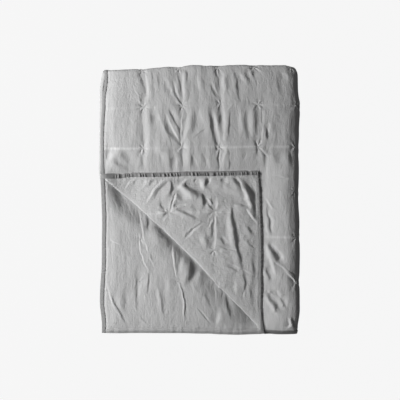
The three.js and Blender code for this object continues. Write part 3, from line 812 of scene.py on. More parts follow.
# The turned corner is calmer by its fold, and has a valley along its first row of tufts
CORNER_CALM = 0.45
CORNER_CALM_TO = (14, 60)
CORNER_VALLEY = (-2.2, TUFT_ROWS[0], 11)
CORNER_VALLEY_FROM = (90, 130)

# How far past the side fold and the top fold the top layer has its relief
RELIEF_PAST_FOLDS = (28, 8)


def nearest_on_path(path, x, y):
    """Distance from a path, signed distance across it and place along it, for each point."""
    points = np.array(path, dtype=float) * CM
    steps = np.diff(points, axis=0)
    lengths = np.hypot(steps[:, 0], steps[:, 1])
    starts = np.concatenate(([0], np.cumsum(lengths)[:-1]))
    best = np.full(x.shape, np.inf)
    side = np.zeros(x.shape)
    where = np.zeros(x.shape)
    whole = points[-1] - points[0]
    hand = np.sign(whole[1] * AWAY_FROM_WINDOW[0] - whole[0] * AWAY_FROM_WINDOW[1])
    for start, step, length, before in zip(points, steps, lengths, starts):
        across = hand * np.array((step[1], -step[0])) / length
        share = np.clip(((x - start[0]) * step[0] + (y - start[1]) * step[1]) / length ** 2, 0, 1)
        from_x = x - start[0] - share * step[0]
        from_y = y - start[1] - share * step[1]
        distance = np.hypot(from_x, from_y)
        closer = distance < best
        best = np.where(closer, distance, best)
        side = np.where(closer, from_x * across[0] + from_y * across[1], side)
        where = np.where(closer, (before + share * length) / lengths.sum(), where)
    return best, side, where


def around_path(path, reach, x, y):
    low = np.min(path, axis=0) * CM - reach
    high = np.max(path, axis=0) * CM + reach
    return (x > low[0]) & (x < high[0]) & (y > low[1]) & (y < high[1])


def crease_height(crease, x, y):
    slope, width, *path = crease
    near = around_path(path, CREASE_REACH * width, x, y)
    total = np.zeros_like(x)
    if near.any():
        best, side, where = nearest_on_path(path, x[near], y[near])
        taper = np.sqrt(np.sin(math.pi * np.clip(where, CREASE_TIP, 1 - CREASE_TIP)))
        step = width * (NARROW_STEP if width < NARROW_CREASE else BROAD_STEP)
        total[near] = CREASE_SLOPE * slope * taper * side / (1 + (best / step) ** 2) ** 2
    return total


def crooked(x, y):
    drift_x, drift_y = drift(CREASE_DRIFT, x, y)
    return x + drift_x, y + drift_y


def creases(table, x, y):
    """Heights of the listed creases, their lines a little crooked."""
    x, y = crooked(x, y)
    return sum(crease_height(crease, x, y) for crease in table)


def tuft_rays(u, v, seed):
    """Fine pleats that run out from each tuft, strongest along the length."""
    column, across = nearest(TUFT_COLUMNS, u)
    row, along = nearest(TUFT_ROWS, v)
    random = np.random.default_rng(seed)
    grid = (len(TUFT_COLUMNS), len(TUFT_ROWS))
    distance = np.hypot(across, along)
    angle = np.arctan2(along, across)
    waves = np.zeros_like(u)
    for count in RAY_COUNTS:
        phases = random.uniform(0, 2 * math.pi, grid)
        sizes = random.uniform(*RAY_SIZES, grid)
        waves += sizes[column, row] * np.cos(count * angle + phases[column, row])
    crest = (distance / RAY_CREST) * np.exp(1 - distance / RAY_CREST)
    reach = RAY_SHARES[0] * crest + RAY_SHARES[1] * bell(distance, RAY_LENGTH)
    return waves * reach * rising(RAY_ACROSS, np.abs(np.sin(angle)))


def column_valleys(u, v, seed):
    """The cloth sinks in along the columns of tufts and puffs up between them."""
    column, across = nearest(TUFT_COLUMNS[:len(COLUMN_DEPTHS)], u)
    drift_row, depth_row = (column * row for row in COLUMN_NOISE_ROWS)
    size, length = COLUMN_DRIFT
    across = across + size * noise(v / length, drift_row, seed)
    mean, swing, length = COLUMN_UNEVEN
    depth = np.array(COLUMN_DEPTHS)[column] * (mean + swing * noise(v / length, depth_row, seed + 1))
    return -depth * bell(across, COLUMN_WIDTH)


def seam_puckers(u, v):
    """Small gathers where the binding's seam draws the cloth in."""
    distance = border_distance(u, v)
    gathers = ripples(SEAM_GATHERS, along_border(u, v), distance)
    return gathers * np.exp(-np.maximum(distance - BINDING_WIDTH, 0) / SEAM_GATHERS_LENGTH)


def face_relief(u, v, x, y):
    strength = 1 + STRIP_STRONGER * smooth(*STRIP_FROM, x)
    tufted = column_valleys(u, v, seed=35) + FACE_RAYS * tuft_rays(u, v, seed=34)
    raised = ridge(BESIDE_CORNER, x - CORNER_RIGHT) * smooth(*BESIDE_CORNER_FROM, y)
    raised = raised * (1 - smooth(*BESIDE_CORNER_TO, y))
    return ripples(FACE_RIPPLES, u, v) + tufted + raised + strength * creases(FACE_CREASES, x, y)


def corner_relief(u, v, x, y):
    calm = rising(CORNER_CALM, smooth(*CORNER_CALM_TO, past_crease(u, v)))
    valley = ridge(CORNER_VALLEY, v) * smooth(*CORNER_VALLEY_FROM, u)
    tufted = valley + CORNER_RAYS * tuft_rays(u, v, seed=44)
    return ripples(CORNER_RIPPLES, u, v) * calm + tufted + CORNER_CREASED * creases(CORNER_CREASES, x, y)


def under_relief(u, v, x, y):
    tufted = UNDER_VALLEYS * column_valleys(u, v, seed=55) + UNDER_RAYS * tuft_rays(u, v, seed=53)
    return ripples(UNDER_RIPPLES, u, v) + tufted + UNDER_CREASED * creases(UNDER_CREASES, x, y)


def layers_shown(u, v, side):
    """Where each visible layer lies on the cloth, with its relief and its creases."""
    past_side, past_top = RELIEF_PAST_FOLDS
    on_top = (u < HALF_WIDTH + past_side) & (v < HALF_LENGTH + past_top)
    turned = on_top & (u + v < CORNER_CREASE)
    under = (u < HALF_WIDTH) & (v > HALF_LENGTH + past_top)
    return (
        ((side > 0) & on_top & ~turned, face_relief, FACE_CREASES),
        ((side < 0) & turned, corner_relief, CORNER_CREASES),
        ((side < 0) & under, under_relief, UNDER_CREASES),
    )


def plan_of(u, v):
    """Where the middle of the cloth lies, from the stack's lower left corner."""
    return place(u, v, np.zeros_like(u)) + (HALF_X, HALF_Y, 0)


# Where the turned corner's right edge lies, at this length from the corner's tip
CORNER_RIGHT_AT = 200.0
CORNER_RIGHT = plan_of(np.array([CORNER_RIGHT_AT]), np.array([0.0]))[0, 0]


def relief(u, v, side, plan):
    """Height of a side's relief over the plain filled cloth, by the layer that it shows on."""
    heights = np.zeros_like(u)
    for mask, field, _ in layers_shown(u, v, side):
        heights[mask] = field(u[mask], v[mask], plan[mask, 0], plan[mask, 1])
    heights += seam_puckers(u, v) * (side != 0)
    return heights * smooth(*RELIEF_BORDER, border_distance(u, v))


def surface(u, v, side):
    """Where a point of the cloth's face (side 1) or back (side -1) lies, in millimetres."""
    half = half_thickness(u, v)
    flat = rest_on_floor(u, v) * (side > 0)
    height = half + relief(u, v, side, plan_of(u, v))
    height = height + (LAYER / 2 - height) * flat
    return place(u, v, side * np.maximum(height, LEAST_THICKNESS - half))


# Making meshes

# Lines of the quilt's mesh: their step, those by the folds as lengths from the middle, and the hidden
# stretches, where only every third is kept
MESH_STEP = 16
SIDE_FOLD_LINES = (0, 3, 6, 10, 14, 19, 24, 32)
TOP_FOLD_LINES = (0, 2.5, 5, 8, 14, 22)
HIDDEN_ACROSS = (690, 1240)
HIDDEN_ALONG = (930, 1210)
HIDDEN_KEPT = 3

# Where the mesh is closer, and how many cuts that takes
MESH_CUTS = 2
DETAIL_CUTS = 2
DETAIL_BY_CREASE = 4.2
DETAILED_CREASE = 8
DETAIL_BY_TUFT = 14
DETAIL_BY_SEAM = 10

# What can be seen, with some room: past the folds, on either side of the crease, and what is covered
SEEN_PAST_FOLDS = (30, 12)
FACE_PAST_CREASE = 50
BACK_PAST_CREASE = 14
UNDER_PAST_CREASE = 20
COVERED_TO = (490, 500)
COVERED_PAST_CREASE = 30

# On the flat grids the face has height 1 and the back -1, with the rim between them
OFF_RIM = 0.5


def in_frame(points):
    """Millimetres of the folded stack to metres in the part's frame."""
    return (points + STACK_SHIFT) * MM


def add_object(name, data):
    added = bpy.data.objects.new(name, data)
    bpy.context.collection.objects.link(added)
    return added


def mesh_object(name, points, faces, cloth_uv, materials, face_materials=None):
    mesh = bpy.data.meshes.new(name)
    mesh.from_pydata(points.tolist(), [], faces)
    layer = mesh.uv_layers.new(name="cloth")
    corners = np.empty(len(mesh.loops), dtype=np.int32)
    mesh.loops.foreach_get("vertex_index", corners)
    layer.data.foreach_set("uv", (np.asarray(cloth_uv)[corners] * MM).astype(np.float32).ravel())
    for material in materials:
        mesh.materials.append(material)
    if face_materials is not None:
        mesh.polygons.foreach_set("material_index", face_materials)
    mesh.polygons.foreach_set("use_smooth", np.ones(len(mesh.polygons), dtype=bool))
    mesh.update()
    return add_object(name, mesh)


def cloth_lines(size, fold_lines, hidden):
    """Lines of the mesh across the cloth: close by the fold, wide from one hidden place to another."""
    half = size / 2
    reach = max(fold_lines) + MESH_STEP / 3
    regular = np.linspace(0, size, round(size / MESH_STEP) + 1)
    inside = (regular > hidden[0]) & (regular < hidden[1])
    kept = ~inside | (np.arange(len(regular)) % HIDDEN_KEPT == 0)
    regular = regular[(np.abs(regular - half) > reach) & kept]
    by_fold = np.array(fold_lines, dtype=float)
    return np.unique(np.concatenate((regular, half - by_fold, half + by_fold)))


def shows(u, v, side):
    """Whether this part of the cloth's face or back can be seen."""
    from_crease = (u + v - CORNER_CREASE) * DIAGONAL
    on_top = u < HALF_WIDTH + SEEN_PAST_FOLDS[0] and v < HALF_LENGTH + SEEN_PAST_FOLDS[1]
    if side > 0:
        covered = u < COVERED_TO[0] and v < COVERED_TO[1] and from_crease > COVERED_PAST_CREASE
        return on_top and from_crease > -FACE_PAST_CREASE and not covered
    turned_back = on_top and from_crease < BACK_PAST_CREASE
    return turned_back or u + LENGTH - v < CORNER_CREASE + UNDER_PAST_CREASE


def by_a_crease(table, x, y, reach):
    """Whether each point lies within reach of a narrow crease."""
    x, y = crooked(x, y)
    found = np.zeros(x.shape, dtype=bool)
    for _, width, *path in table:
        near = around_path(path, reach, x, y)
        if width < DETAILED_CREASE and near.any():
            found[near] |= nearest_on_path(path, x[near], y[near])[0] < reach
    return found


def needs_detail(u, v, side):
    """Where narrow creases, tufts or the binding's seam call for a closer mesh."""
    plan = plan_of(u, v)
    _, across = nearest(TUFT_COLUMNS, u)
    _, along = nearest(TUFT_ROWS, v)
    past_tape = border_distance(u, v) - BINDING_WIDTH
    sewn = (past_tape > 0) & (past_tape < DETAIL_BY_SEAM)
    sewn |= np.hypot(across, along) < DETAIL_BY_TUFT
    found = np.zeros(u.shape, dtype=bool)
    for mask, _, table in layers_shown(u, v, side):
        found[mask] = sewn[mask] | by_a_crease(table, plan[mask, 0], plan[mask, 1], DETAIL_BY_CREASE)
    return found


def cloth_grids(us, vs):
    """Flat face and back joined at the rim, and the edges of those faces that can be seen."""
    bm = bmesh.new()
    rows = {side: [[bm.verts.new((u, v, side)) for u in us] for v in vs] for side in (1, -1)}
    seen = set()
    for j in range(len(vs) - 1):
        for i in range(len(us) - 1):
            for side, grid in rows.items():
                ring = [grid[j][i], grid[j][i + 1], grid[j + 1][i + 1], grid[j + 1][i]]
                face = bm.faces.new(ring if side > 0 else ring[::-1])
                if shows((us[i] + us[i + 1]) / 2, (vs[j] + vs[j + 1]) / 2, side):
                    seen.update(face.edges)
    rim = [(0, i) for i in range(len(us))]
    rim += [(j, len(us) - 1) for j in range(1, len(vs))]
    rim += [(len(vs) - 1, i) for i in range(len(us) - 2, -1, -1)]
    rim += [(j, 0) for j in range(len(vs) - 2, 0, -1)]
    front, back = rows[1], rows[-1]
    for (j, i), (m, k) in zip(rim, rim[1:] + rim[:1]):
        bm.faces.new((front[j][i], back[j][i], back[m][k], front[m][k]))
    return bm, seen


def cut_detail(bm):
    small = [face for face in bm.faces if face.calc_area() < MESH_STEP ** 2 / 2]
    u, v, side = np.array([face.calc_center_median() for face in small]).T
    visible = np.array([shows(*middle) for middle in zip(u, v, side)])
    wanted = needs_detail(u, v, side) & visible & (np.abs(side) > OFF_RIM)
    edges = {edge for face, needed in zip(small, wanted) if needed for edge in face.edges}
    bmesh.ops.subdivide_edges(bm, edges=list(edges), cuts=DETAIL_CUTS, use_grid_fill=True)
    bmesh.ops.triangulate(bm, faces=[face for face in bm.faces if len(face.verts) > 4])


def flat_cloth():
    """The open cloth's points and faces, closer where it can be seen, and which cloth each face has."""
    us = cloth_lines(WIDTH, SIDE_FOLD_LINES, HIDDEN_ACROSS)
    vs = cloth_lines(LENGTH, TOP_FOLD_LINES, HIDDEN_ALONG)
    bm, seen = cloth_grids(us, vs)
    bmesh.ops.subdivide_edges(bm, edges=list(seen), cuts=MESH_CUTS, use_grid_fill=True)
    cut_detail(bm)
    bm.verts.index_update()
    flat = np.array([vert.co for vert in bm.verts])
    faces = [[vert.index for vert in face.verts] for face in bm.faces]
    bm.free()
    middles = np.array([flat[face].mean(axis=0) for face in faces])
    backs = middles[:, 2] < -OFF_RIM
    turned = backs & (middles[:, 0] + middles[:, 1] < CORNER_CREASE)
    return flat, faces, backs.astype(np.int32) + turned


# Materials

# How cloth takes light, and its patterns by the swells in a metre
CLOTH_LOOK = {"Roughness": 0.92, "Specular IOR Level": 0.2, "Sheen Weight": 0.12, "Sheen Roughness": 0.5}
PATCHES = {"Scale": 28, "Detail": 4, "Roughness": 0.6}
SLUBS = {"Scale": 420, "Detail": 2}
CRUMPLES = {"Scale": 80, "Detail": 4, "Distortion": 0.3}
WRINKLES = {"Scale": 1, "Detail": 2, "Roughness": 0.6, "Distortion": 0.4}
WRINKLE_SWELLS = (240, 30, 1)
WRINKLE_SHARE = 0.26
DYE_SHARE = 0.35
DYE_BASE = 0.33
DYE_RANGE = (0.3, 0.7)

# Weave: length of the wave pattern's bands at scale 1, how the threads waver, the slubs' share, strength
WAVE_LENGTH = 0.314
THREAD_WAVER = 0.6
SLUB_SHARE = 0.8
WEAVE_STRENGTH = 0.5

# Rows and columns of tufts along which the colour is made lighter in stretches: a painted highlight that
# stands for sharp pressed creases catching the light
PAINTED_HIGHLIGHT_LINES_ON_FACE = {"rows": TUFT_ROWS[:2] + TUFT_ROWS[3:5], "columns": ()}
PAINTED_HIGHLIGHT_LINES_ON_CORNER = {"rows": TUFT_ROWS[:1], "columns": TUFT_COLUMNS[:1]}
PAINTED_HIGHLIGHT_LINE_WIDTH = 2.4
PAINTED_HIGHLIGHT_LIGHTER = 0.32
PAINTED_HIGHLIGHT_STRETCHES = {"W": 2, "Scale": 8, "Detail": 1}
PAINTED_HIGHLIGHT_STRETCH_RANGE = (0.4, 0.55)


def set_inputs(tree, made, values):
    """Links an output to each named input, or sets a plain value on it."""
    for name, value in values.items():
        if isinstance(value, bpy.types.NodeSocket):
            tree.links.new(value, made.inputs[name])
        else:
            made.inputs[name].default_value = value


def node(tree, kind, values, **settings):
    made = tree.nodes.new("ShaderNode" + kind)
    for name, setting in settings.items():
        setattr(made, name, setting)
    set_inputs(tree, made, values)
    return made


def math_node(tree, operation, *values):
    return node(tree, "Math", dict(enumerate(values)), operation=operation).outputs[0]


def map_range(tree, value, before, after):
    names = ("Value", "From Min", "From Max", "To Min", "To Max")
    return node(tree, "MapRange", dict(zip(names, (value, *before, *after)))).outputs["Result"]


def scaled(tree, vector, scale):
    return node(tree, "Mapping", {"Vector": vector, "Scale": scale}).outputs["Vector"]


def noise_pattern(tree, vector, values, dimensions="3D"):
    return node(tree, "TexNoise", {"Vector": vector, **values}, noise_dimensions=dimensions).outputs["Fac"]


def new_material(name):
    material = bpy.data.materials.new(name)
    material.use_nodes = True
    return material, material.node_tree, material.node_tree.nodes["Principled BSDF"]


def thin_lines(tree, coordinate, places, size):
    """1 on thin lines at these places across the cloth, and 0 between them."""
    ramp = node(tree, "ValToRGB", {"Fac": math_node(tree, "DIVIDE", coordinate, size * MM)})
    stops = ramp.color_ramp.elements
    stops[1].color = (0, 0, 0, 1)
    for line in places:
        for offset, tone in ((-PAINTED_HIGHLIGHT_LINE_WIDTH, 0), (0, 1), (PAINTED_HIGHLIGHT_LINE_WIDTH, 0)):
            stops.new((line + offset) / size).color = (tone, tone, tone, 1)
    return ramp.outputs["Color"]


def paint_highlight_lines(tree, uv, shade, rows, columns):
    """Painted highlight: here and there the colour is lighter along the rows and columns of tufts, where
    sharp creases would catch the light.
    """
    across, along, _ = node(tree, "SeparateXYZ", {"Vector": uv}).outputs
    in_columns = thin_lines(tree, across, columns, WIDTH)
    in_rows = thin_lines(tree, along, rows, LENGTH)
    stretches = noise_pattern(tree, uv, PAINTED_HIGHLIGHT_STRETCHES, dimensions="4D")
    painted_highlight = map_range(tree, stretches, PAINTED_HIGHLIGHT_STRETCH_RANGE, (0, PAINTED_HIGHLIGHT_LIGHTER))
    return math_node(tree, "MULTIPLY_ADD", math_node(tree, "MAXIMUM", in_columns, in_rows), painted_highlight, shade)


def cloth_material(
    name, tone, thread, weave_depth, mottle, crumple_depth, crumple_length=0.45, fineness=0.7, pressed=None
):
    """Plain woven cloth: crossed threads, slubs, fine crumples and slight unevenness of the dye."""
    material, tree, shader = new_material(name)
    uv = node(tree, "UVMap", {}, uv_map="cloth").outputs["UV"]

    slubs = noise_pattern(tree, uv, SLUBS)
    dye = math_node(tree, "MULTIPLY_ADD", slubs, DYE_SHARE, DYE_BASE)
    dye = math_node(tree, "MULTIPLY_ADD", noise_pattern(tree, uv, PATCHES), DYE_SHARE, dye)
    shade = map_range(tree, dye, DYE_RANGE, (1 - mottle, 1 + mottle))
    # Painted highlight: the colour is lightened along the given crease lines, in place of light caught by
    # their ridges
    if pressed:
        shade = paint_highlight_lines(tree, uv, shade, **pressed)
    tint = node(tree, "VectorMath", {0: (tone, tone, tone), "Scale": shade}, operation="SCALE")

    stretched = scaled(tree, uv, (1, crumple_length, 1))
    crumples = noise_pattern(tree, stretched, {**CRUMPLES, "Roughness": fineness})
    wrinkles = noise_pattern(tree, scaled(tree, uv, WRINKLE_SWELLS), WRINKLES)
    folds = math_node(tree, "MULTIPLY_ADD", wrinkles, WRINKLE_SHARE, crumples)
    creased = node(tree, "Bump", {"Strength": 1, "Distance": crumple_depth * MM, "Height": folds})

    wave = {"Vector": uv, "Scale": WAVE_LENGTH / (thread * MM), "Distortion": THREAD_WAVER}
    warp, weft = (node(tree, "TexWave", wave, bands_direction=axis).outputs["Fac"] for axis in "XY")
    threads = math_node(tree, "MULTIPLY_ADD", slubs, SLUB_SHARE, math_node(tree, "MAXIMUM", warp, weft))
    woven = node(tree, "Bump", {"Strength": WEAVE_STRENGTH, "Distance": weave_depth * MM, "Height": threads})
    set_inputs(tree, woven, {"Normal": creased.outputs["Normal"]})
    set_inputs(tree, shader, CLOTH_LOOK)
    set_inputs(tree, shader, {"Base Color": tint.outputs["Vector"], "Normal": woven.outputs["Normal"]})
    return material


# Quilt

def make_quilt(cloths):
    """The quilt, with its face, its back and the turned corner's back each in its own cloth."""
    flat, faces, sides = flat_cloth()
    points = in_frame(surface(*flat.T))
    quilt = mesh_object("bedspread_quilt", points, faces, flat[:, :2], cloths, sides)
    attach(quilt, "root")
    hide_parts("quilt")
    return quilt


# Binding tape

# Corners of the tape's section inward from the cloth's edge, how its sewn edge is thinned, and where the
# outside and the lining turn round the cloth's edge, as shares of the turn's depth and height. Then the
# step along the tape, each tape's seed, and its rows of the noise
TAPE_CORNERS = (BINDING_WIDTH, BINDING_WIDTH - 0.8, BINDING_WIDTH - 3, 7.5, 5, 2.5, 0.5)
TAPE_EDGE_THINNED = 0.5
OUTSIDE_TURN = (0.8, 0.5)
LINING_TURN = (1, 0.7)
TAPE_STEP = 1.4
TAPE_SEEDS = (70, 75, 80, 85)
TAPE_NOISE_ROWS = (2, 5, 8)

# The tape's dome on the turned corner and the dent of its seam: (height, place, half width)
TAPE_DOME = (2.6, 6.5, 3.2)
SEAM_DENT = (-0.45, SEAM_INWARD, 1.3)

# Its sewn edge wavers: size, length and where
TAPE_WAVER = 0.7
TAPE_WAVER_LENGTH = 30
TAPE_WAVERS_FROM = (8, 13)

# Gathers of the tape: laps along it, each rising and falling about alike, most on the turned corner
GATHERED_ON_CORNER = {"binding_long_upper": 1, "binding_short_outer": 0.6}
LAP_ELSEWHERE = 0.16
LAP_PITCH = 12
LAP_RISE = 0.52
LAP_HEIGHT = 11.5
LAP_LEVEL = 0.3
LAP_LOWEST = -0.8
LAP_DRIFT = 1.3
LAP_DRIFT_LENGTH = 31
LAP_SIZES = (0.5, 1.1)
LAP_SIZES_LENGTH = 17
LAPS_FROM_FOLD = (25, 70)
LAPS_FULL = (-1, 5)
LAPS_HELD = 0.6
LAPS_HELD_BY_SEAM = (9, 13)


def tape_section():
    """The folded tape as (inward from the cloth's edge, out of its face, 1 on the outside)."""
    turn = -EDGE_ROOM - TAPE_THICKNESS
    corners = np.array(TAPE_CORNERS)
    inner = edge_half(corners) + SEWN_GAP
    outer = inner + TAPE_THICKNESS
    outer[0] -= TAPE_EDGE_THINNED
    half = [(inward, w, 1) for inward, w in zip(corners, outer)]
    half.append((turn * OUTSIDE_TURN[0], outer[-1] * OUTSIDE_TURN[1], 1))
    lining = [(inward, w, 0) for inward, w in zip(corners[::2], inner[::2])]
    lining.append((-EDGE_ROOM * LINING_TURN[0], inner[-1] * LINING_TURN[1], 0))
    outside = half + [(turn, 0, 1)] + [(inward, -w, shown) for inward, w, shown in reversed(half)]
    inside = [(inward, -w, shown) for inward, w, shown in lining] + lining[::-1]
    return np.array(outside + inside, dtype=float)


def tape_edges():
    """Each tape's node, its ends along the edge, how it lies on the cloth, and whether that mirrors it."""
    past = EDGE_ROOM + TAPE_THICKNESS
    between = BINDING_WIDTH + SEWN_GAP
    return (
        ("binding_long_upper", -past, LENGTH + past, lambda inward, at: (inward, at), True),
        ("binding_long_lower", -past, LENGTH + past, lambda inward, at: (WIDTH - inward, at), False),
        ("binding_short_outer", between, WIDTH - between, lambda inward, at: (at, inward), False),
        ("binding_short_inner", between, WIDTH - between, lambda inward, at: (at, LENGTH - inward), True),
    )


def tape_noise(n, length, at, side, seed):
    """A tape's n-th noise along its length, another on each side of the cloth."""
    return noise(at / length, TAPE_NOISE_ROWS[n] + side / 2, seed + n)


def tape_laps(gathered, at, side, on_corner, seed):
    lap = np.mod(at / LAP_PITCH + LAP_DRIFT * tape_noise(0, LAP_DRIFT_LENGTH, at, side, seed), 1)
    lap = np.where(on_corner, 1 - lap, lap)
    lap = np.minimum(lap / LAP_RISE, (1 - lap) / (1 - LAP_RISE))
    uneven = LAP_SIZES[0] + LAP_SIZES[1] * np.abs(tape_noise(1, LAP_SIZES_LENGTH, at, side, seed))
    size = np.where(on_corner, gathered, LAP_ELSEWHERE) * uneven
    heights = np.maximum(LAP_HEIGHT * size * (lap - LAP_LEVEL), LAP_LOWEST)
    return heights * smooth(*LAPS_FROM_FOLD, np.abs(at - CORNER_CREASE))


def tube_faces(total, count):
    """Faces of a closed tube whose points come in rings of this count."""
    faces = []
    for first in range(0, total - count, count):
        for i in range(count):
            k = (i + 1) % count
            faces.append((first + i, first + k, first + count + k, first + count + i))
    return faces + [tuple(range(count - 1, -1, -1)), tuple(range(total - count, total))]


def make_tape(name, start, end, on_cloth, mirrored, seed, cloth):
    section = tape_section()
    stations = np.linspace(start, end, round((end - start) / TAPE_STEP))
    at = np.repeat(stations, len(section))
    inward, w, outside = np.tile(section, (len(stations), 1)).T
    side = np.where(w >= 0, 1, -1)
    on_corner = (at < CORNER_CREASE) & (side < 0)
    laps = tape_laps(GATHERED_ON_CORNER.get(name, 0), at, side, on_corner, seed)
    laps = laps * smooth(*LAPS_FULL, inward) * (1 - LAPS_HELD * smooth(*LAPS_HELD_BY_SEAM, inward))
    w = w + side * outside * (laps + ridge(TAPE_DOME, inward) * on_corner + ridge(SEAM_DENT, inward))
    waver = TAPE_WAVER * tape_noise(2, TAPE_WAVER_LENGTH, at, side, seed)
    inward = inward + outside * waver * smooth(*TAPE_WAVERS_FROM, inward)
    points = in_frame(place(*on_cloth(inward, at), w))
    faces = tube_faces(len(at), len(section))
    if mirrored:
        faces = [face[::-1] for face in faces]
    tape = mesh_object("bedspread_" + name, points, faces, np.stack((at, inward), axis=1), (cloth,))
    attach(tape, "root")
    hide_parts(name)
    return tape


# Sewing

# A stitch is a spindle with two tips and two rings, at these shares of its length from the middle.
# It takes this length of the cloth's pattern.
RING_PLACES = (-0.25, 0.25)
RING_POINTS = 4
SPINDLE_POINTS = 2 * RING_POINTS + 2
SPINDLE_PATTERN = 3

# Stitches of the seam and of the tufts: their places, length and the thread's radius
SEAM_PITCH = 4.2
SEAM_STITCH = 2.9
SEAM_THREAD = 0.45
SEAM_SUNK = 0.15
TUFT_STITCHES_AT = (-0.8, 0.8)
TUFT_STITCH = 5.2
TUFT_THREAD = 0.6
TUFT_SLOPE_REACH = 2


def spindle_faces():
    """Faces of one stitch: its first tip, the band between its rings and its last tip."""
    near = [(k + 1, (k + 1) % RING_POINTS + 1) for k in range(RING_POINTS)]
    far = [(i + RING_POINTS, k + RING_POINTS) for i, k in near]
    band = [(i, far_i, far_k, k) for (i, k), (far_i, far_k) in zip(near, far)]
    return [(0, i, k) for i, k in near] + band + [(SPINDLE_POINTS - 1, k, i) for i, k in far]


def thread_mesh(name, starts, ends, ups, radius, cloth):
    """Short stitches, each a small spindle lying between two points."""
    along = ends - starts
    across = np.cross(along, ups)
    across /= np.linalg.norm(across, axis=1)[:, None]
    ups = ups / np.linalg.norm(ups, axis=1)[:, None]
    rings = [starts]
    for share in RING_PLACES:
        centre = (starts + ends) / 2 + along * share
        rings += [centre + direction * radius for direction in (across, ups, -across, -ups)]
    rings.append(ends)
    points = np.stack(rings, axis=1).reshape(-1, 3)
    points[:, 2] = np.maximum(points[:, 2], 0)
    firsts = range(0, len(points), SPINDLE_POINTS)
    faces = [[first + corner for corner in face] for first in firsts for face in spindle_faces()]
    uv = np.tile(np.linspace(0, SPINDLE_PATTERN, SPINDLE_POINTS)[:, None], (len(starts), 2))
    piece = mesh_object(name, in_frame(points), faces, uv, (cloth,))
    bm = bmesh.new()
    bm.from_mesh(piece.data)
    bmesh.ops.recalc_face_normals(bm, faces=bm.faces)
    bm.to_mesh(piece.data)
    bm.free()
    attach(piece, "root")
    return piece


def make_seam_stitches(cloth):
    starts, ends, ups = [], [], []
    lying = EDGE_THICKNESS / 2 + SEWN_GAP + TAPE_THICKNESS - SEAM_SUNK
    for _, start, end, on_cloth, _ in tape_edges():
        at = np.arange(start + SEAM_PITCH, end - SEAM_PITCH, SEAM_PITCH)
        inward = np.full_like(at, SEAM_INWARD)
        for side in (1, -1):
            w = np.full_like(at, side * lying)
            starts.append(place(*on_cloth(inward, at - SEAM_STITCH / 2), w))
            ends.append(place(*on_cloth(inward, at + SEAM_STITCH / 2), w))
            ups.append(place(*on_cloth(inward, at), w + side) - place(*on_cloth(inward, at), w))
    lines = [np.concatenate(points) for points in (starts, ends, ups)]
    stitches = thread_mesh("bedspread_seam_stitches", *lines, SEAM_THREAD, cloth)
    return stitches


def make_tuft_stitches(cloth):
    """Two short stitches in the dent of each tuft that can be seen."""
    places = [
        (u + offset, v, side)
        for u in TUFT_COLUMNS
        for v in TUFT_ROWS
        for side in (1, -1)
        if shows(u, v, side)
        for offset in TUFT_STITCHES_AT
    ]
    u, v, side = np.array(places, dtype=float).T
    starts = surface(u, v - TUFT_STITCH / 2, side)
    ends = surface(u, v + TUFT_STITCH / 2, side)
    across = surface(u + TUFT_SLOPE_REACH, v, side) - surface(u - TUFT_SLOPE_REACH, v, side)
    ups = np.cross(across, ends - starts) * side[:, None]
    stitches = thread_mesh("bedspread_tuft_stitches", starts, ends, ups, TUFT_THREAD, cloth)
    return stitches


# Stage, in metres

FLOOR_HALF = 20.0
WHITE = (1, 1, 1, 1)
FLOOR_LOOK = {
    "Base Color": (0.004, 0.004, 0.004, 1),
    "Roughness": 0.9,
    "Specular IOR Level": 0,
    "Emission Color": WHITE,
    "Emission Strength": 0.918,
}
WORLD_LOOK = {"Color": WHITE, "Strength": 0.05}

# Lights: name, place, size and power
LIGHTS = (
    ("window", (-1.94, 0.24, 1.06), 0.6, 68),
    ("window_low", (-1.9, -1.1, 0.9), 0.6, 9),
    ("overhead", (-0.6, 0.3, 2.6), 1.6, 5),
    ("low_front", (0.5, -2.4, 0.16), 0.3, 6),
    ("low_back", (0.6, 2.4, 0.16), 0.3, 6),
)
CAMERA_HEIGHT = 4.6
VIEW_WIDTH = 1.34
SENSOR_WIDTH = 36


def make_floor():
    mesh = bpy.data.meshes.new("floor")
    corners = [(x * FLOOR_HALF, y * FLOOR_HALF, 0) for x, y in ((-1, -1), (1, -1), (1, 1), (-1, 1))]
    mesh.from_pydata(corners, [], [(0, 1, 2, 3)])
    material, tree, shader = new_material("floor_paint")
    set_inputs(tree, shader, FLOOR_LOOK)
    mesh.materials.append(material)
    floor = add_object("floor", mesh)
    floor.visible_diffuse = False
    floor.visible_glossy = False


def make_light(name, location, size, power):
    light = bpy.data.lights.new(name, "AREA")
    light.shape = "DISK"
    light.size = size
    light.energy = power
    lamp = add_object(name, light)
    lamp.location = location
    lamp.rotation_euler = (-Vector(location)).to_track_quat("-Z", "Y").to_euler()


def make_camera():
    camera = bpy.data.cameras.new("camera")
    camera.sensor_width = SENSOR_WIDTH
    camera.lens = SENSOR_WIDTH * (CAMERA_HEIGHT - 2 * STACK_MIDDLE_Z * MM) / VIEW_WIDTH
    holder = add_object("camera", camera)
    holder.location = (0, 0, CAMERA_HEIGHT)
    bpy.context.scene.camera = holder


def make_stage():
    make_floor()
    for light in LIGHTS:
        make_light(*light)
    world = bpy.data.worlds.new("studio")
    world.use_nodes = True
    set_inputs(world.node_tree, world.node_tree.nodes["Background"], WORLD_LOOK)
    bpy.context.scene.world = world
    bpy.context.scene.view_settings.view_transform = "Standard"
    make_camera()


# Putting the part together

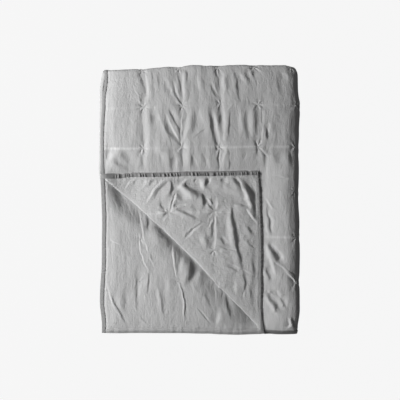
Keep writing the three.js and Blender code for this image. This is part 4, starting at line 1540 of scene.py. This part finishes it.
def stack_shift():
    """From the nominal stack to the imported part's frame, by the quilt's box."""
    samples = 400
    along = np.linspace(0, LENGTH, samples)
    right = place(np.full_like(along, HALF_WIDTH), along, np.full_like(along, LOFT / 2))[:, 0].max()
    bottom = place(along * WIDTH / LENGTH, along * 0, along * 0)[:, 1].min()
    low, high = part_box("quilt")
    return np.array([high[0] / MM + RIGHT_OVERHANG - right, low[1] / MM - BOTTOM_OVERHANG - bottom, 0.0])


STACK_SHIFT = stack_shift()

# Tones of the cloths and of the sewing, and what the cloths of a kind share
QUILT_TONE = 0.43
QUILT_THREAD_TONE = 0.36
BINDING_THREAD_TONE = 0.28
# The four tapes are one cloth. The darker tones of the upper long tape and the outer short tape are painted
# shade, standing in for the shade on the top layer's and the turned corner's edges.
TAPE_TONES_WITH_PAINTED_SHADE = {
    "binding_long_upper": 0.198,
    "binding_long_lower": 0.34,
    "binding_short_outer": 0.2,
    "binding_short_inner": 0.345,
}
FACE = {"thread": 0.8, "weave_depth": 0.1, "mottle": 0.05, "crumple_depth": 2.5}
BACK = {"thread": 0.8, "weave_depth": 0.12, "mottle": 0.07, "crumple_depth": 2.3}
CRUMPLED = {**BACK, "crumple_depth": 3.1, "crumple_length": 1.1, "fineness": 0.72}
TAPE = {"thread": 0.7, "weave_depth": 0.1, "mottle": 0.08, "crumple_depth": 1}
SEWING = {"thread": 0.5, "weave_depth": 0.05, "mottle": 0.03, "crumple_depth": 0.2}

quilt_cloths = (
    cloth_material("face_cloth", QUILT_TONE, **FACE, pressed=PAINTED_HIGHLIGHT_LINES_ON_FACE),
    cloth_material("back_cloth", QUILT_TONE, **BACK),
    cloth_material("back_cloth_crumpled", QUILT_TONE, **CRUMPLED, pressed=PAINTED_HIGHLIGHT_LINES_ON_CORNER),
)
quilt_thread = cloth_material("quilt_thread", QUILT_THREAD_TONE, **SEWING)
binding_thread = cloth_material("binding_thread", BINDING_THREAD_TONE, **SEWING)
tape_cloths = [cloth_material(name, tone, **TAPE) for name, tone in TAPE_TONES_WITH_PAINTED_SHADE.items()]

quilt = make_quilt(quilt_cloths)
tapes = [make_tape(*edge, seed, cloth) for edge, seed, cloth in zip(tape_edges(), TAPE_SEEDS, tape_cloths)]
seams = make_seam_stitches(binding_thread)
tufts = make_tuft_stitches(quilt_thread)
make_stage()
